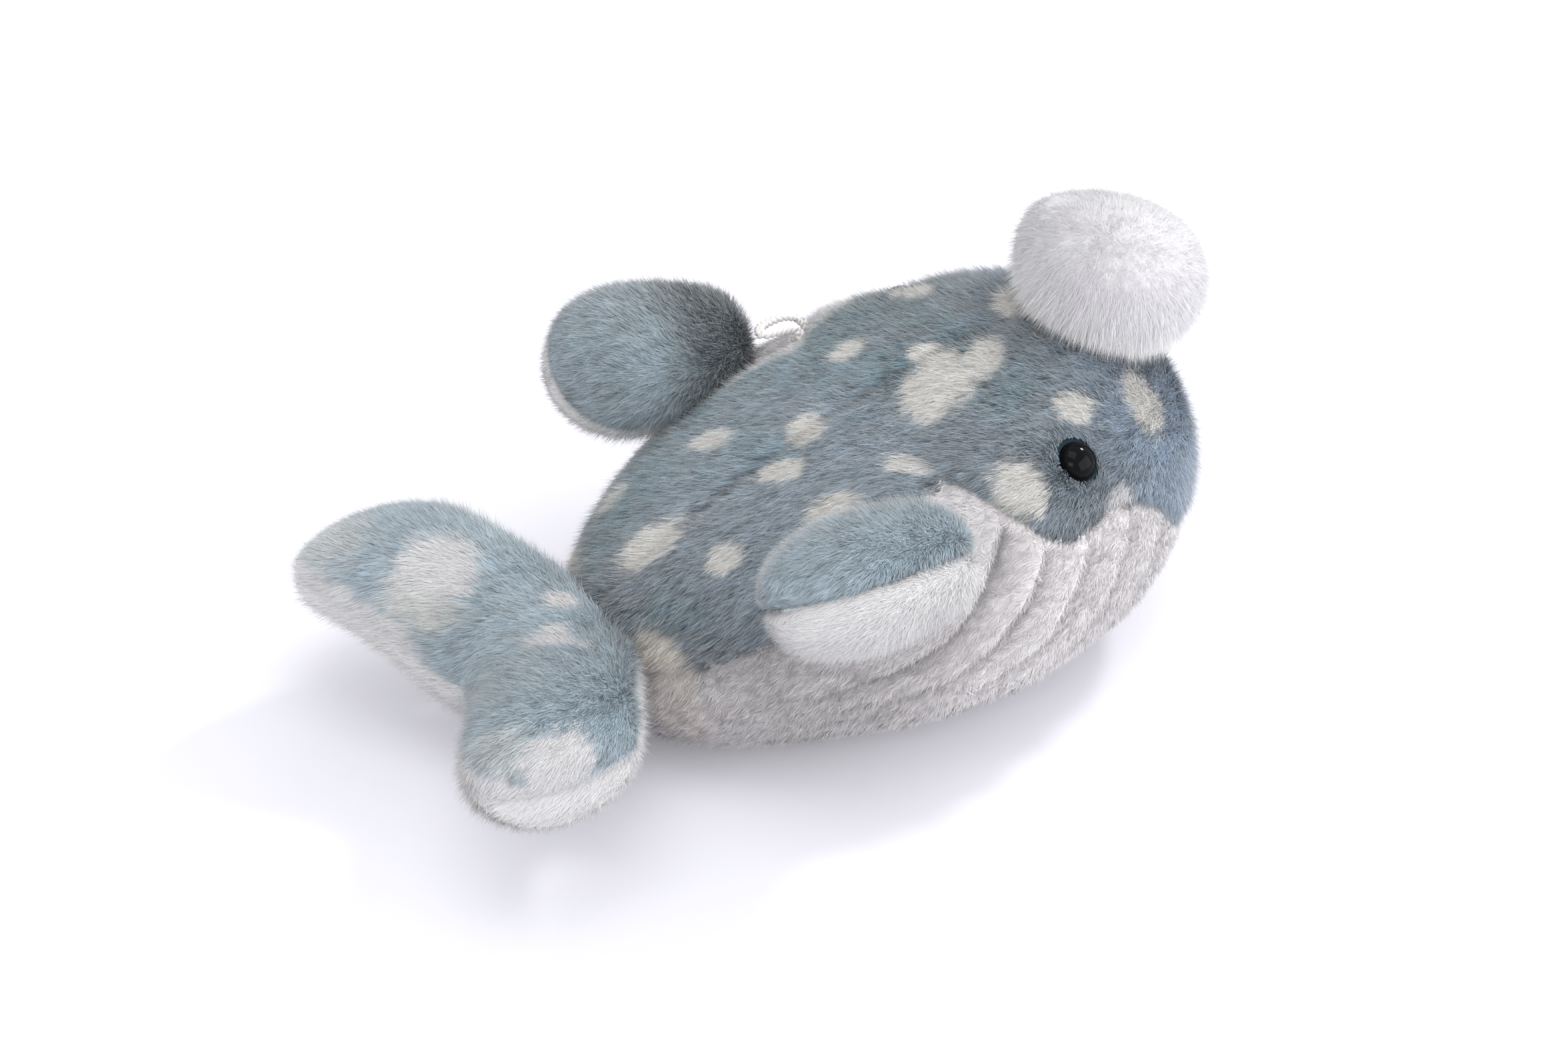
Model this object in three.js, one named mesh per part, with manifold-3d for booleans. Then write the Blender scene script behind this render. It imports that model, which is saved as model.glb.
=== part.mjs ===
// Stuffed whale: a body of two back panels and a pleated belly panel over fibre filling, a pair of flippers,
// a tail with two flukes, a fur pompom on the head, two safety eyes with their lock washers, and a hanging loop.
// Millimetres. The nose points to -Y, the tail to +Y, the whale's left is +X and up is +Z.
import * as THREE from 'three';
import { mergeVertices } from 'three/addons/utils/BufferGeometryUtils.js';
import Module from 'manifold-3d';

const wasm = await Module();
wasm.setup();

const { smoothstep } = THREE.MathUtils;
const xAxis = new THREE.Vector3(1, 0, 0);
const yAxis = new THREE.Vector3(0, 1, 0);

// Cloth and fits
const plushThickness = 5; // woven backing and laid pile together
const seamGap = 0.4; // between two panels along their seam
const clearance = 0.35; // between a piece and what it lies against
const limbClearance = 1.2; // between a limb's cut end and the body, over all its travel
const overrun = 40; // how far a cutting form runs past what it cuts
const restFlat = 0.5; // depth to which the belly is pressed flat where it lies

// Body
const bodyLength = 183;
const bodyHalfWidth = 70;
const bodyHeight = 97;
const sectionPowerShare = 0.92; // under 1 makes a section squarer than an ellipse
const bodyRings = 26;
const liningRings = 12; // of the inner faces, which are plainer than the outer one
const liningSides = 18;
const keepOutRings = 18; // of the form that keeps the limbs clear of the body
const keepOutSides = 24;
const backSteps = 6; // of the outer face, from the back seam to the first pleat
const bellySteps = 5; // and from the last pleat to the middle of the belly

// Each station: place along the body, half width, and the heights of the top, the underside and the widest line
const bodyStationShares = [
  { along: 0, width: 0, top: 0.557, bottom: 0.557, widest: 0.557 },
  { along: 0.016, width: 0.43, top: 0.804, bottom: 0.37, widest: 0.577 },
  { along: 0.074, width: 0.63, top: 0.918, bottom: 0.144, widest: 0.515 },
  { along: 0.202, width: 0.83, top: 1, bottom: 0.02, widest: 0.443 },
  { along: 0.393, width: 1, top: 0.96, bottom: 0, widest: 0.423 },
  { along: 0.492, width: 1.005, top: 0.905, bottom: 0, widest: 0.402 },
  { along: 0.607, width: 0.97, top: 0.835, bottom: 0, widest: 0.381 },
  { along: 0.792, width: 0.757, top: 0.68, bottom: 0.01, widest: 0.34 },
  { along: 0.913, width: 0.514, top: 0.557, bottom: 0.04, widest: 0.3 },
  { along: 0.978, width: 0.257, top: 0.464, bottom: 0.144, widest: 0.3 },
  { along: 1, width: 0, top: 0.31, bottom: 0.31, widest: 0.31 },
];

// The side seam between back and belly, seen from the side: it dips at the mouth and crests over the shoulder
const seamStationShares = [
  { along: 0, height: 0.385 }, { along: 0.08, height: 0.42 }, { along: 0.14, height: 0.555 },
  { along: 0.2, height: 0.63 }, { along: 0.26, height: 0.662 }, { along: 0.32, height: 0.65 },
  { along: 0.38, height: 0.682 }, { along: 0.43, height: 0.757 }, { along: 0.485, height: 0.81 },
  { along: 0.57, height: 0.745 }, { along: 0.68, height: 0.62 }, { along: 0.79, height: 0.505 },
  { along: 0.9, height: 0.405 }, { along: 1, height: 0.33 },
];
const seamSteps = 60;

// Throat pleats: each leaves the side seam, turns and runs back along the belly, and laps over the next one down
const pleatCount = 5;
const pleatDepth = 2.6;
const pleatStart = 83; // where the rearmost pleat leaves the seam, from the nose
const pleatPitch = 14; // from one pleat to the next along the seam
const pleatRun = 22; // distance in which a pleat turns
const pleatAheadShare = 0.3; // of its turn that its line still makes ahead of the seam
const pleatAngle = degrees(90); // of the rearmost pleat along the belly, round from the back seam
const pleatAngleStep = degrees(8.5);
const pleatTurn = degrees(38);
const pleatEnd = 122; // where the pleats start to run out towards the tail, from the nose
const pleatFade = 36;

// Where a fold has its lines between one groove and the next, and how deep it lies there
const pleatFoldShares = [{ at: 0, depth: 1 }, { at: 0.45, depth: 0.35 }, { at: 0.86, depth: 0 }];

// Flippers: each is a paddle that lies back along the body, its inner edge sewn to the body's side
const flipperLength = 62.5;
const flipperHalfChord = 22;
const flipperHalfThickness = 18.5;
const flipperPlaceShare = 0.535; // of the body's stations, where its front end is
const flipperPlaceAngle = degrees(51.5); // round the body from the back seam
const flipperStandOff = 3.5; // of the front end's middle from the body's side
const flipperSweep = degrees(85); // from straight out to the side, towards the tail
const flipperRise = degrees(4.5);
const flipperLean = degrees(35); // of its broad face, in over the back
const flipperTravel = [degrees(-15), degrees(20)]; // down and up, before the cloth creases
const flipperRings = 12;
const flipperSides = 16;
const flipperLiningRings = 8;
const flipperLiningSides = 12;
const flipperStationShares = [
  { along: 0, chord: 0, thick: 0 },
  { along: 0.04, chord: 0.48, thick: 0.5 },
  { along: 0.15, chord: 0.76, thick: 0.83 },
  { along: 0.4, chord: 0.96, thick: 1 },
  { along: 0.65, chord: 1, thick: 1 },
  { along: 0.85, chord: 0.8, thick: 0.78 },
  { along: 0.96, chord: 0.44, thick: 0.5 },
  { along: 1, chord: 0, thick: 0 },
];

// Tail: lofted from fluke tip to fluke tip, with a deep middle that laps round the body's end
const tailHalfSpan = 64.5;
const tailReach = 76; // from its front to the furthest point of the flukes
const tailHalfThickness = 20;
const tailLap = 15; // how far its front reaches over the body's end, before it is cut to fit
const tailHeight = 30; // of its seam in the middle
const flukeRise = 14.5; // of the seam out on the flukes
const tailHingeInset = 25; // from the body's end to the line on which the tail bends
const tailTravel = [degrees(-12), degrees(14)];
const tailRings = 22;
const tailSides = 14;
const tailLiningRings = 14;
const tailLiningSides = 10;

// Each station: place across, front and back edges, rise of the seam, and the fullness above and below it
const tailStationShares = [
  { across: 0, lead: 0, trail: 0.67, rise: 0, above: 1, below: 1 },
  { across: 0.185, lead: 0.04, trail: 0.73, rise: 0.1, above: 0.975, below: 1.1 },
  { across: 0.37, lead: 0.12, trail: 0.815, rise: 0.52, above: 0.875, below: 1.05 },
  { across: 0.57, lead: 0.217, trail: 0.92, rise: 0.9, above: 0.75, below: 0.95 },
  { across: 0.74, lead: 0.283, trail: 0.993, rise: 1, above: 0.7, below: 0.9 },
  { across: 0.877, lead: 0.336, trail: 0.98, rise: 0.93, above: 0.625, below: 0.85 },
  { across: 0.969, lead: 0.434, trail: 0.88, rise: 0.79, above: 0.5, below: 0.625 },
  { across: 1, lead: 0.645, trail: 0.645, rise: 0.72, above: 0, below: 0 },
];

// Pompom: gathered fur that fans out from its neck over a small ball of filling, tied to the head
const pompomRadius = 27;
const pompomHeight = 38.5;
const pompomPlaceShare = 0.227; // of the body's stations
const pompomPlaceAngle = degrees(-4.5); // round the body from the back seam
const pompomSink = 7.5; // of its underside into the head, before it is cut to fit
const pompomLean = degrees(6.7); // to the whale's right
const pompomTilt = degrees(7.8); // towards the nose
const pompomTravel = [degrees(-12), degrees(12)];
const pompomCoreRadius = 8.5;
const pompomCoreStand = 15; // of the filling's middle above the head
const pompomTieRadius = 1.6;
const pompomRings = 14;
const pompomSides = 24;
const pompomCoreSides = 16;
const pompomTieSides = 12;
const pompomProfileShares = [
  { out: 0, up: 0 }, { out: 0.35, up: 0.02 }, { out: 0.72, up: 0.2 }, { out: 0.95, up: 0.42 },
  { out: 1, up: 0.62 }, { out: 0.9, up: 0.84 }, { out: 0.55, up: 0.97 }, { out: 0, up: 1 },
];

// Safety eyes: a dome with a low rim on a shank, held by a lock washer behind the cloth
const eyeRadius = 6;
const eyeDome = 4.6; // height of the dome above its rim
const eyeRim = 0.8;
const eyeSeat = 2.6; // depth of the rim's back below the pile
const eyeShankRadius = 1.8;
const eyeShankLength = 10;
const eyePlaceShare = 0.345; // of the body's stations
const eyePlaceAngle = degrees(47.8); // round the body from the back seam
const eyeSides = 20;
const eyeDomeSteps = 5;
const washerRadius = 6.5;
const washerThickness = 1.2;
const washerCollar = 1.4; // height of its collar round the shank
const washerCollarRadius = 3.2;

// Hanging loop: a short braided cord, both ends sewn into the left side seam in front of the flipper
const loopCordRadius = 1.7;
const loopFrontShare = 0.458; // of the body's stations
const loopRearShare = 0.49;
const loopHeight = 6.5; // of its crown above the seam
const loopTrail = 6.5; // how far the crown lies back towards the tail
const loopRiseShare = 0.3; // of the way from the crown down, where the cord bends on its way up
const loopFallShare = 0.45; // and on its way down
const loopRoot = 4; // length of each end in the seam, before it is cut flush
const loopSides = 8;
const loopSteps = 28;

const finishes = {
  blueFur: { color: 0x7c919b, roughness: 0.95 },
  whiteFur: { color: 0xe4e0dc, roughness: 0.95 },
  pompomFur: { color: 0xf3f2f6, roughness: 0.95 },
  filling: { color: 0xf4f1ea, roughness: 1 },
  eye: { color: 0x0b1216, roughness: 0.08 },
  washer: { color: 0xd8d8d4, roughness: 0.5 },
  thread: { color: 0xdcdcdc, roughness: 0.8 },
  cord: { color: 0xe6dcd8, roughness: 0.8 },
};

function degrees(value) {
  return THREE.MathUtils.degToRad(value);
}

function signedPower(value, power) {
  return Math.sign(value) * Math.abs(value) ** power;
}

// A smooth curve through each column of a station table, read at a place from 0 to 1
function smoothTable(stations) {
  const curves = Object.keys(stations[0]).map((name) => {
    const points = stations.map((station, place) => new THREE.Vector2(place, station[name]));
    return [name, new THREE.SplineCurve(points)];
  });
  return (place) => Object.fromEntries(curves.map(([name, curve]) => [name, curve.getPoint(place).y]));
}

const bodyAt = smoothTable(bodyStationShares);
const seamAt = smoothTable(seamStationShares);
const flipperAt = smoothTable(flipperStationShares);
const tailAt = smoothTable(tailStationShares);
const pompomAt = smoothTable(pompomProfileShares);

// A point of the body, or of the face that lies an inset inside it. The angle runs from the back seam, round by
// the left side.
function bodyPoint(place, angle, inset = 0) {
  const s = bodyAt(place);
  const rise = signedPower(Math.cos(angle), sectionPowerShare) * (1 - inset / (bodyHeight / 2));
  const height = rise > 0 ? s.top - s.widest : s.widest - s.bottom;
  return new THREE.Vector3(
    (bodyHalfWidth - inset) * s.width * signedPower(Math.sin(angle), sectionPowerShare),
    inset + (bodyLength - 2 * inset) * s.along,
    bodyHeight * (s.widest + height * rise),
  );
}

// The side seam as points of distance from the nose and height
const seamLine = Array.from({ length: seamSteps + 1 }, (_, step) => seamAt(step / seamSteps))
  .map((s) => new THREE.Vector2(bodyLength * s.along, bodyHeight * s.height));

function seamHeight(y) {
  const after = seamLine.findIndex((point) => point.x > y);
  const next = after < 1 ? seamLine.length - 1 : after;
  const [a, b] = [seamLine[next - 1], seamLine[next]];
  return THREE.MathUtils.mapLinear(y, a.x, b.x, a.y, b.y);
}

// The angle round the body at which a fold line lies: whole numbers are the grooves, 0 is the rearmost
function angleOfPleat(number, y) {
  const run = (y - pleatStart + pleatPitch * number) / pleatRun;
  const ahead = 1 + pleatAheadShare * (1 - Math.exp(run / pleatAheadShare));
  return pleatAngle + pleatAngleStep * number - pleatTurn * (run > 0 ? Math.exp(-run) : ahead);
}

// The lines on which the outer face has its points, on the left side: plain back, folds, plain belly. Each gives
// its angle at a distance from the nose and its depth as a share of a whole groove.
function faceLines() {
  const firstLip = pleatFoldShares.at(-1).at - 1;
  const lines = [];
  for (let step = 0; step <= backSteps; step += 1) {
    lines.push({ depth: 0, angle: (y) => (angleOfPleat(firstLip, y) * step) / backSteps });
  }
  for (let number = 0; number < pleatCount; number += 1) {
    const folds = number < pleatCount - 1 ? pleatFoldShares : pleatFoldShares.slice(0, -1);
    for (const { at, depth } of folds) lines.push({ depth, angle: (y) => angleOfPleat(number + at, y) });
  }
  for (let step = 0; step <= bellySteps; step += 1) {
    const share = step / bellySteps;
    lines.push({ depth: 0, angle: (y) => THREE.MathUtils.lerp(angleOfPleat(pleatCount, y), Math.PI, share) });
  }
  return lines;
}

// The body's outer face, with its throat pleats pressed in on both sides. The side counts the lines all round,
// from the back seam by the left to the belly's middle and back by the right.
const leftLines = faceLines();
const bodySides = 2 * (leftLines.length - 1);

function pleatedPoint(place, side) {
  const { y } = bodyPoint(place, 0);
  const mirror = side >= leftLines.length;
  const line = leftLines[mirror ? bodySides - side : side];
  const angle = mirror ? -line.angle(y) : line.angle(y);
  const point = bodyPoint(place, angle);
  const along = 1 - smoothstep(y, pleatEnd, pleatEnd + pleatFade);
  const under = smoothstep(seamHeight(y) - point.z, 0, plushThickness);
  return point.addScaledVector(outward(bodyPoint, place, angle), -pleatDepth * line.depth * along * under);
}

// Unit normal of a lofted surface, pointing out
function outward(pointAt, place, angle) {
  const stepShare = 0.002;
  const at = THREE.MathUtils.clamp(place, 2 * stepShare, 1 - 2 * stepShare);
  const along = pointAt(at + stepShare, angle).sub(pointAt(at - stepShare, angle));
  const round = pointAt(at, angle + stepShare).sub(pointAt(at, angle - stepShare));
  const normal = along.cross(round).normalize();
  const across = pointAt(at, angle).sub(pointAt(at, angle + Math.PI));
  return normal.dot(across) < 0 ? normal.negate() : normal;
}

// A closed loft: a pole, rings of points, and a pole. The faces are set to point out, whichever way they come.
function loft(pointAt, rings, sides) {
  const points = [pointAt(0, 0)];
  for (let ring = 1; ring < rings; ring += 1) {
    for (let side = 0; side < sides; side += 1) points.push(pointAt(ring / rings, side));
  }
  points.push(pointAt(1, 0));
  const at = (ring, side) => 1 + (ring - 1) * sides + (side % sides);
  const faces = [];
  for (let side = 0; side < sides; side += 1) {
    faces.push([0, at(1, side), at(1, side + 1)]);
    for (let ring = 1; ring < rings - 1; ring += 1) {
      faces.push([at(ring, side), at(ring + 1, side), at(ring + 1, side + 1)]);
      faces.push([at(ring, side), at(ring + 1, side + 1), at(ring, side + 1)]);
    }
    faces.push([at(rings - 1, side), points.length - 1, at(rings - 1, side + 1)]);
  }
  const volume = faces.reduce((sum, [a, b, c]) => sum + points[a].dot(points[b].clone().cross(points[c])), 0);
  const geometry = new THREE.BufferGeometry().setFromPoints(points);
  return geometry.setIndex(faces.flatMap(([a, b, c]) => (volume > 0 ? [a, b, c] : [a, c, b])));
}

// A loft whose sides are evenly spread angles, at an inset inside the surface
function evenLoft(pointAt, inset, rings, sides) {
  return loft((place, side) => pointAt(place, (2 * Math.PI * side) / sides, inset), rings, sides);
}

function solid(geometry) {
  const bare = geometry.clone();
  bare.deleteAttribute('normal');
  bare.deleteAttribute('uv');
  const merged = mergeVertices(bare);
  return new wasm.Manifold(new wasm.Mesh({
    numProp: 3,
    vertProperties: new Float32Array(merged.attributes.position.array),
    triVerts: new Uint32Array(merged.index.array),
  }));
}

function geometryOf(manifold) {
  const { vertProperties, triVerts } = manifold.getMesh();
  const geometry = new THREE.BufferGeometry();
  geometry.setAttribute('position', new THREE.BufferAttribute(vertProperties, 3));
  geometry.setIndex(new THREE.BufferAttribute(triVerts, 1));
  return geometry;
}

// Stands the axis of a revolved piece along a direction at a point
function standing(point, direction) {
  const turn = new THREE.Quaternion().setFromUnitVectors(yAxis, direction);
  return new THREE.Matrix4().compose(point, turn, new THREE.Vector3(1, 1, 1));
}

// A revolved piece from its profile of radii and heights
function revolved(profile, sides, place) {
  const points = profile.map(([radius, height]) => new THREE.Vector2(radius, height));
  return solid(new THREE.LatheGeometry(points, sides).applyMatrix4(place));
}

// All that lies on the side of a plane towards which its normal points, out past the whole toy
function halfSpace(point, normal) {
  const size = 2 * (bodyLength + tailReach + overrun);
  const turn = new THREE.Quaternion().setFromUnitVectors(new THREE.Vector3(0, 0, 1), normal);
  const block = new THREE.BoxGeometry(size, size, size).translate(0, 0, size / 2);
  return solid(block.applyQuaternion(turn).translate(point.x, point.y, point.z));
}

// All that lies under a line of points, as a sheet of some depth
function underLine(line, depth, place) {
  const [first, last] = [line[0], line.at(-1)];
  const outwards = Math.sign(last.x - first.x) * overrun;
  const outline = new THREE.Shape([
    new THREE.Vector2(last.x + outwards, -overrun), new THREE.Vector2(first.x - outwards, -overrun),
    new THREE.Vector2(first.x - outwards, first.y), ...line, new THREE.Vector2(last.x + outwards, last.y),
  ]);
  const sheet = new THREE.ExtrudeGeometry(outline, { depth, bevelEnabled: false });
  return solid(sheet.applyMatrix4(place));
}

function underSideSeam(raise) {
  const width = 2 * (bodyHalfWidth + overrun);
  const line = seamLine.map(({ x, y }) => new THREE.Vector2(x, y + raise));
  const place = new THREE.Matrix4().makeBasis(yAxis, new THREE.Vector3(0, 0, 1), xAxis);
  return underLine(line, width, place.setPosition(-width / 2, 0, 0));
}

// What the body sweeps, as a limb sees it that turns about a hinge through its travel
function sweptBody(hinge, axis, [low, high]) {
  const keepOut = evenLoft(bodyPoint, -limbClearance, keepOutRings, keepOutSides);
  return [low, 0, high].map((angle) => {
    const turned = keepOut.clone().translate(-hinge.x, -hinge.y, -hinge.z);
    turned.applyMatrix4(new THREE.Matrix4().makeRotationAxis(axis, -angle));
    return solid(turned.translate(hinge.x, hinge.y, hinge.z));
  }).reduce((sum, form) => sum.add(form));
}

// Where an eye and its washer stand, on the left for side 1 and on the right for side -1
function eyePlace(side) {
  const angle = side * eyePlaceAngle;
  return standing(bodyPoint(eyePlaceShare, angle), outward(bodyPoint, eyePlaceShare, angle));
}

function eye(side) {
  const foot = -eyeSeat - eyeShankLength;
  const profile = [[0, foot], [eyeShankRadius, foot], [eyeShankRadius, -eyeSeat], [eyeRadius, -eyeSeat]];
  for (let step = 0; step < eyeDomeSteps; step += 1) {
    const turn = (Math.PI / 2) * (step / eyeDomeSteps);
    profile.push([eyeRadius * Math.cos(turn), eyeRim - eyeSeat + eyeDome * Math.sin(turn)]);
  }
  profile.push([0, eyeRim - eyeSeat + eyeDome]);
  return revolved(profile, eyeSides, eyePlace(side));
}

const washerTop = -plushThickness - clearance;
const washerBase = washerTop - washerThickness - washerCollar;

function washer(side) {
  const hole = eyeShankRadius + clearance;
  const profile = [
    [hole, washerTop], [hole, washerBase], [washerCollarRadius, washerBase],
    [washerCollarRadius, washerTop - washerThickness], [washerRadius, washerTop - washerThickness],
    [washerRadius, washerTop], [hole, washerTop],
  ];
  return revolved(profile, eyeSides, eyePlace(side));
}

// The room an eye takes in cloth and filling: a pocket in the pile, a hole for the shank, a recess for the washer
function eyeRoom(side) {
  const pocket = eyeRadius + clearance;
  const hole = eyeShankRadius + clearance;
  const recess = washerRadius + clearance;
  const foot = -eyeSeat - eyeShankLength - clearance;
  const outside = eyeDome + plushThickness;
  const profile = [
    [0, foot], [hole, foot], [hole, washerBase - clearance], [recess, washerBase - clearance],
    [recess, -plushThickness], [hole, -plushThickness], [hole, -eyeSeat - clearance],
    [pocket, -eyeSeat - clearance], [pocket, outside], [0, outside],
  ];
  return revolved(profile, eyeSides, eyePlace(side));
}

function bodyPieces() {
  const eyeRooms = eyeRoom(1).add(eyeRoom(-1));
  const lining = evenLoft(bodyPoint, plushThickness, liningRings, liningSides);
  const filling = evenLoft(bodyPoint, plushThickness + clearance, liningRings, liningSides);
  const pressedFlat = halfSpace(new THREE.Vector3(0, 0, restFlat), new THREE.Vector3(0, 0, -1));
  const cover = solid(loft(pleatedPoint, bodyRings, bodySides))
    .subtract(solid(lining)).subtract(pressedFlat).subtract(eyeRooms);
  const back = cover.subtract(underSideSeam(seamGap / 2));
  const left = halfSpace(new THREE.Vector3(seamGap / 2, 0, 0), xAxis);
  const right = halfSpace(new THREE.Vector3(-seamGap / 2, 0, 0), xAxis.clone().negate());
  return {
    back_panel_left: back.intersect(left),
    back_panel_right: back.intersect(right),
    belly_panel: cover.intersect(underSideSeam(-seamGap / 2)),
    body_filling: solid(filling).subtract(eyeRooms),
  };
}

// A flipper's own directions and places, for the left one
function flipperFrame() {
  const along = new THREE.Vector3(
    Math.cos(flipperSweep) * Math.cos(flipperRise),
    Math.sin(flipperSweep) * Math.cos(flipperRise),
    Math.sin(flipperRise),
  );
  const face = new THREE.Vector3(-Math.sin(flipperLean), 0, Math.cos(flipperLean)).projectOnPlane(along);
  face.normalize();
  const hinge = bodyPoint(flipperPlaceShare, flipperPlaceAngle);
  const root = outward(bodyPoint, flipperPlaceShare, flipperPlaceAngle).multiplyScalar(flipperStandOff).add(hinge);
  return { along, face, chord: face.clone().cross(along), hinge, root };
}

function flipperPoint(place, angle, inset) {
  const s = flipperAt(place);
  const { along, face, chord, root } = flipperFrame();
  const within = 1 - inset / flipperHalfThickness;
  return root.clone()
    .addScaledVector(along, inset + (flipperLength - 2 * inset) * s.along)
    .addScaledVector(chord, flipperHalfChord * within * s.chord * Math.cos(angle))
    .addScaledVector(face, flipperHalfThickness * within * s.thick * Math.sin(angle));
}

function flipperPieces() {
  const { face, root, hinge } = flipperFrame();
  const form = solid(evenLoft(flipperPoint, 0, flipperRings, flipperSides));
  const [lining, filling] = [plushThickness, plushThickness + clearance]
    .map((inset) => solid(evenLoft(flipperPoint, inset, flipperLiningRings, flipperLiningSides)));
  const swept = sweptBody(hinge, yAxis.clone().negate(), flipperTravel);
  const cover = form.subtract(lining).subtract(swept);
  const above = halfSpace(root.clone().addScaledVector(face, seamGap / 2), face);
  const below = halfSpace(root.clone().addScaledVector(face, -seamGap / 2), face.clone().negate());
  return { top: cover.intersect(above), underside: cover.intersect(below), filling: filling.subtract(swept) };
}

// The same piece for the whale's other side
function mirrored(manifold) {
  const shape = geometryOf(manifold).scale(-1, 1, 1);
  const order = shape.index.array;
  for (let face = 0; face < order.length; face += 3) [order[face], order[face + 1]] = [order[face + 1], order[face]];
  return solid(shape);
}

// A point of the tail: place 0 is the right fluke's tip and place 1 the left one's
function tailPoint(place, angle, inset) {
  const across = 2 * place - 1;
  const s = tailAt(Math.abs(across));
  const within = 1 - inset / tailHalfThickness;
  const front = bodyLength - tailLap + (tailReach * (s.lead + s.trail)) / 2;
  const rise = signedPower(Math.sin(angle), sectionPowerShare);
  const fullness = rise > 0 ? s.above : s.below;
  return new THREE.Vector3(
    (tailHalfSpan - inset) * Math.sign(across) * s.across,
    front + ((tailReach * (s.trail - s.lead)) / 2) * within * Math.cos(angle),
    tailHeight + flukeRise * s.rise + tailHalfThickness * fullness * within * rise,
  );
}

function underTailSeam(raise) {
  const line = Array.from({ length: 2 * tailRings + 1 }, (_, step) => {
    const across = 1 - step / tailRings;
    const s = tailAt(Math.abs(across));
    const x = Math.sign(across) * tailHalfSpan * s.across;
    return new THREE.Vector2(x, tailHeight + flukeRise * s.rise + raise);
  });
  const place = new THREE.Matrix4().makeRotationX(Math.PI / 2);
  const depth = bodyLength + tailReach + overrun;
  return underLine(line, depth, place.setPosition(0, depth, 0));
}

function tailPieces() {
  const form = solid(evenLoft(tailPoint, 0, tailRings, tailSides));
  const [lining, filling] = [plushThickness, plushThickness + clearance]
    .map((inset) => solid(evenLoft(tailPoint, inset, tailLiningRings, tailLiningSides)));
  const hinge = new THREE.Vector3(0, bodyLength - tailHingeInset, bodyHeight * bodyStationShares.at(-1).widest);
  const swept = sweptBody(hinge, xAxis, tailTravel);
  const cover = form.subtract(lining).subtract(swept);
  return {
    tail_top: cover.subtract(underTailSeam(seamGap / 2)),
    tail_underside: cover.intersect(underTailSeam(-seamGap / 2)),
    tail_filling: filling.subtract(swept),
  };
}

function pompomPieces() {
  const seat = bodyPoint(pompomPlaceShare, pompomPlaceAngle);
  const up = new THREE.Vector3(-Math.sin(pompomLean), -Math.sin(pompomTilt), Math.cos(pompomLean)).normalize();
  const place = standing(seat, up);
  const swept = sweptBody(seat, yAxis, pompomTravel);
  const profile = Array.from({ length: pompomRings + 1 }, (_, ring) => {
    const s = pompomAt(ring / pompomRings);
    return [ring % pompomRings === 0 ? 0 : pompomRadius * s.out, pompomHeight * s.up - pompomSink];
  });
  const core = (radius) => {
    const ball = new THREE.SphereGeometry(radius, pompomCoreSides, pompomCoreSides / 2);
    return solid(ball.translate(0, pompomCoreStand, 0).applyMatrix4(place));
  };
  const post = (radius) => {
    const outline = [[0, -pompomHeight], [radius, -pompomHeight], [radius, pompomCoreStand], [0, pompomCoreStand]];
    return revolved(outline, pompomTieSides, place);
  };
  const coreRoom = core(pompomCoreRadius + clearance);
  const neck = post(pompomTieRadius + clearance);
  return {
    pompom_fur: revolved(profile, pompomSides, place).subtract(coreRoom).subtract(neck).subtract(swept),
    pompom_filling: core(pompomCoreRadius),
    pompom_tie: post(pompomTieRadius).subtract(coreRoom).subtract(swept),
  };
}

// The loop's cord leaves the side seam, lies back towards the tail and returns to the seam
function hangLoop() {
  const [front, rear] = [loopFrontShare, loopRearShare].map((place) => {
    const s = bodyAt(place);
    const up = (seamHeight(bodyLength * s.along) / bodyHeight - s.widest) / (s.top - s.widest);
    const angle = Math.acos(up ** (1 / sectionPowerShare));
    return { point: bodyPoint(place, angle), skin: outward(bodyPoint, place, angle) };
  });
  const lift = loopCordRadius + clearance;
  const crown = front.point.clone().lerp(rear.point, 0.5).addScaledVector(front.skin, loopHeight);
  crown.y += loopTrail;
  const path = new THREE.CatmullRomCurve3([
    front.point.clone().addScaledVector(front.skin, -loopRoot),
    front.point.clone().addScaledVector(front.skin, lift),
    crown.clone().lerp(front.point, loopRiseShare).addScaledVector(front.skin, lift),
    crown,
    crown.clone().lerp(rear.point, loopFallShare).addScaledVector(yAxis, loopTrail / 3),
    rear.point.clone().addScaledVector(rear.skin, lift),
    rear.point.clone().addScaledVector(rear.skin, -loopRoot),
  ]);
  const section = new THREE.Shape(Array.from({ length: loopSides }, (_, side) => {
    const angle = (2 * Math.PI * side) / loopSides;
    return new THREE.Vector2(loopCordRadius * Math.cos(angle), loopCordRadius * Math.sin(angle));
  }));
  const cord = new THREE.ExtrudeGeometry(section, { steps: loopSteps, extrudePath: path, bevelEnabled: false });
  return solid(cord).subtract(solid(evenLoft(bodyPoint, -limbClearance, keepOutRings, keepOutSides)));
}

const whale = new THREE.Group();

function addPiece(name, manifold, finish) {
  const material = new THREE.MeshStandardMaterial({ metalness: 0, ...finish });
  const mesh = new THREE.Mesh(geometryOf(manifold), material);
  mesh.name = name;
  whale.add(mesh);
}

const body = bodyPieces();
addPiece('back_panel_left', body.back_panel_left, finishes.blueFur);
addPiece('back_panel_right', body.back_panel_right, finishes.blueFur);
addPiece('belly_panel', body.belly_panel, finishes.whiteFur);
addPiece('body_filling', body.body_filling, finishes.filling);
addPiece('hang_loop', hangLoop(), finishes.cord);

for (const [name, side] of [['left', 1], ['right', -1]]) {
  addPiece(`eye_${name}`, eye(side), finishes.eye);
  addPiece(`eye_washer_${name}`, washer(side), finishes.washer);
}

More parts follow.
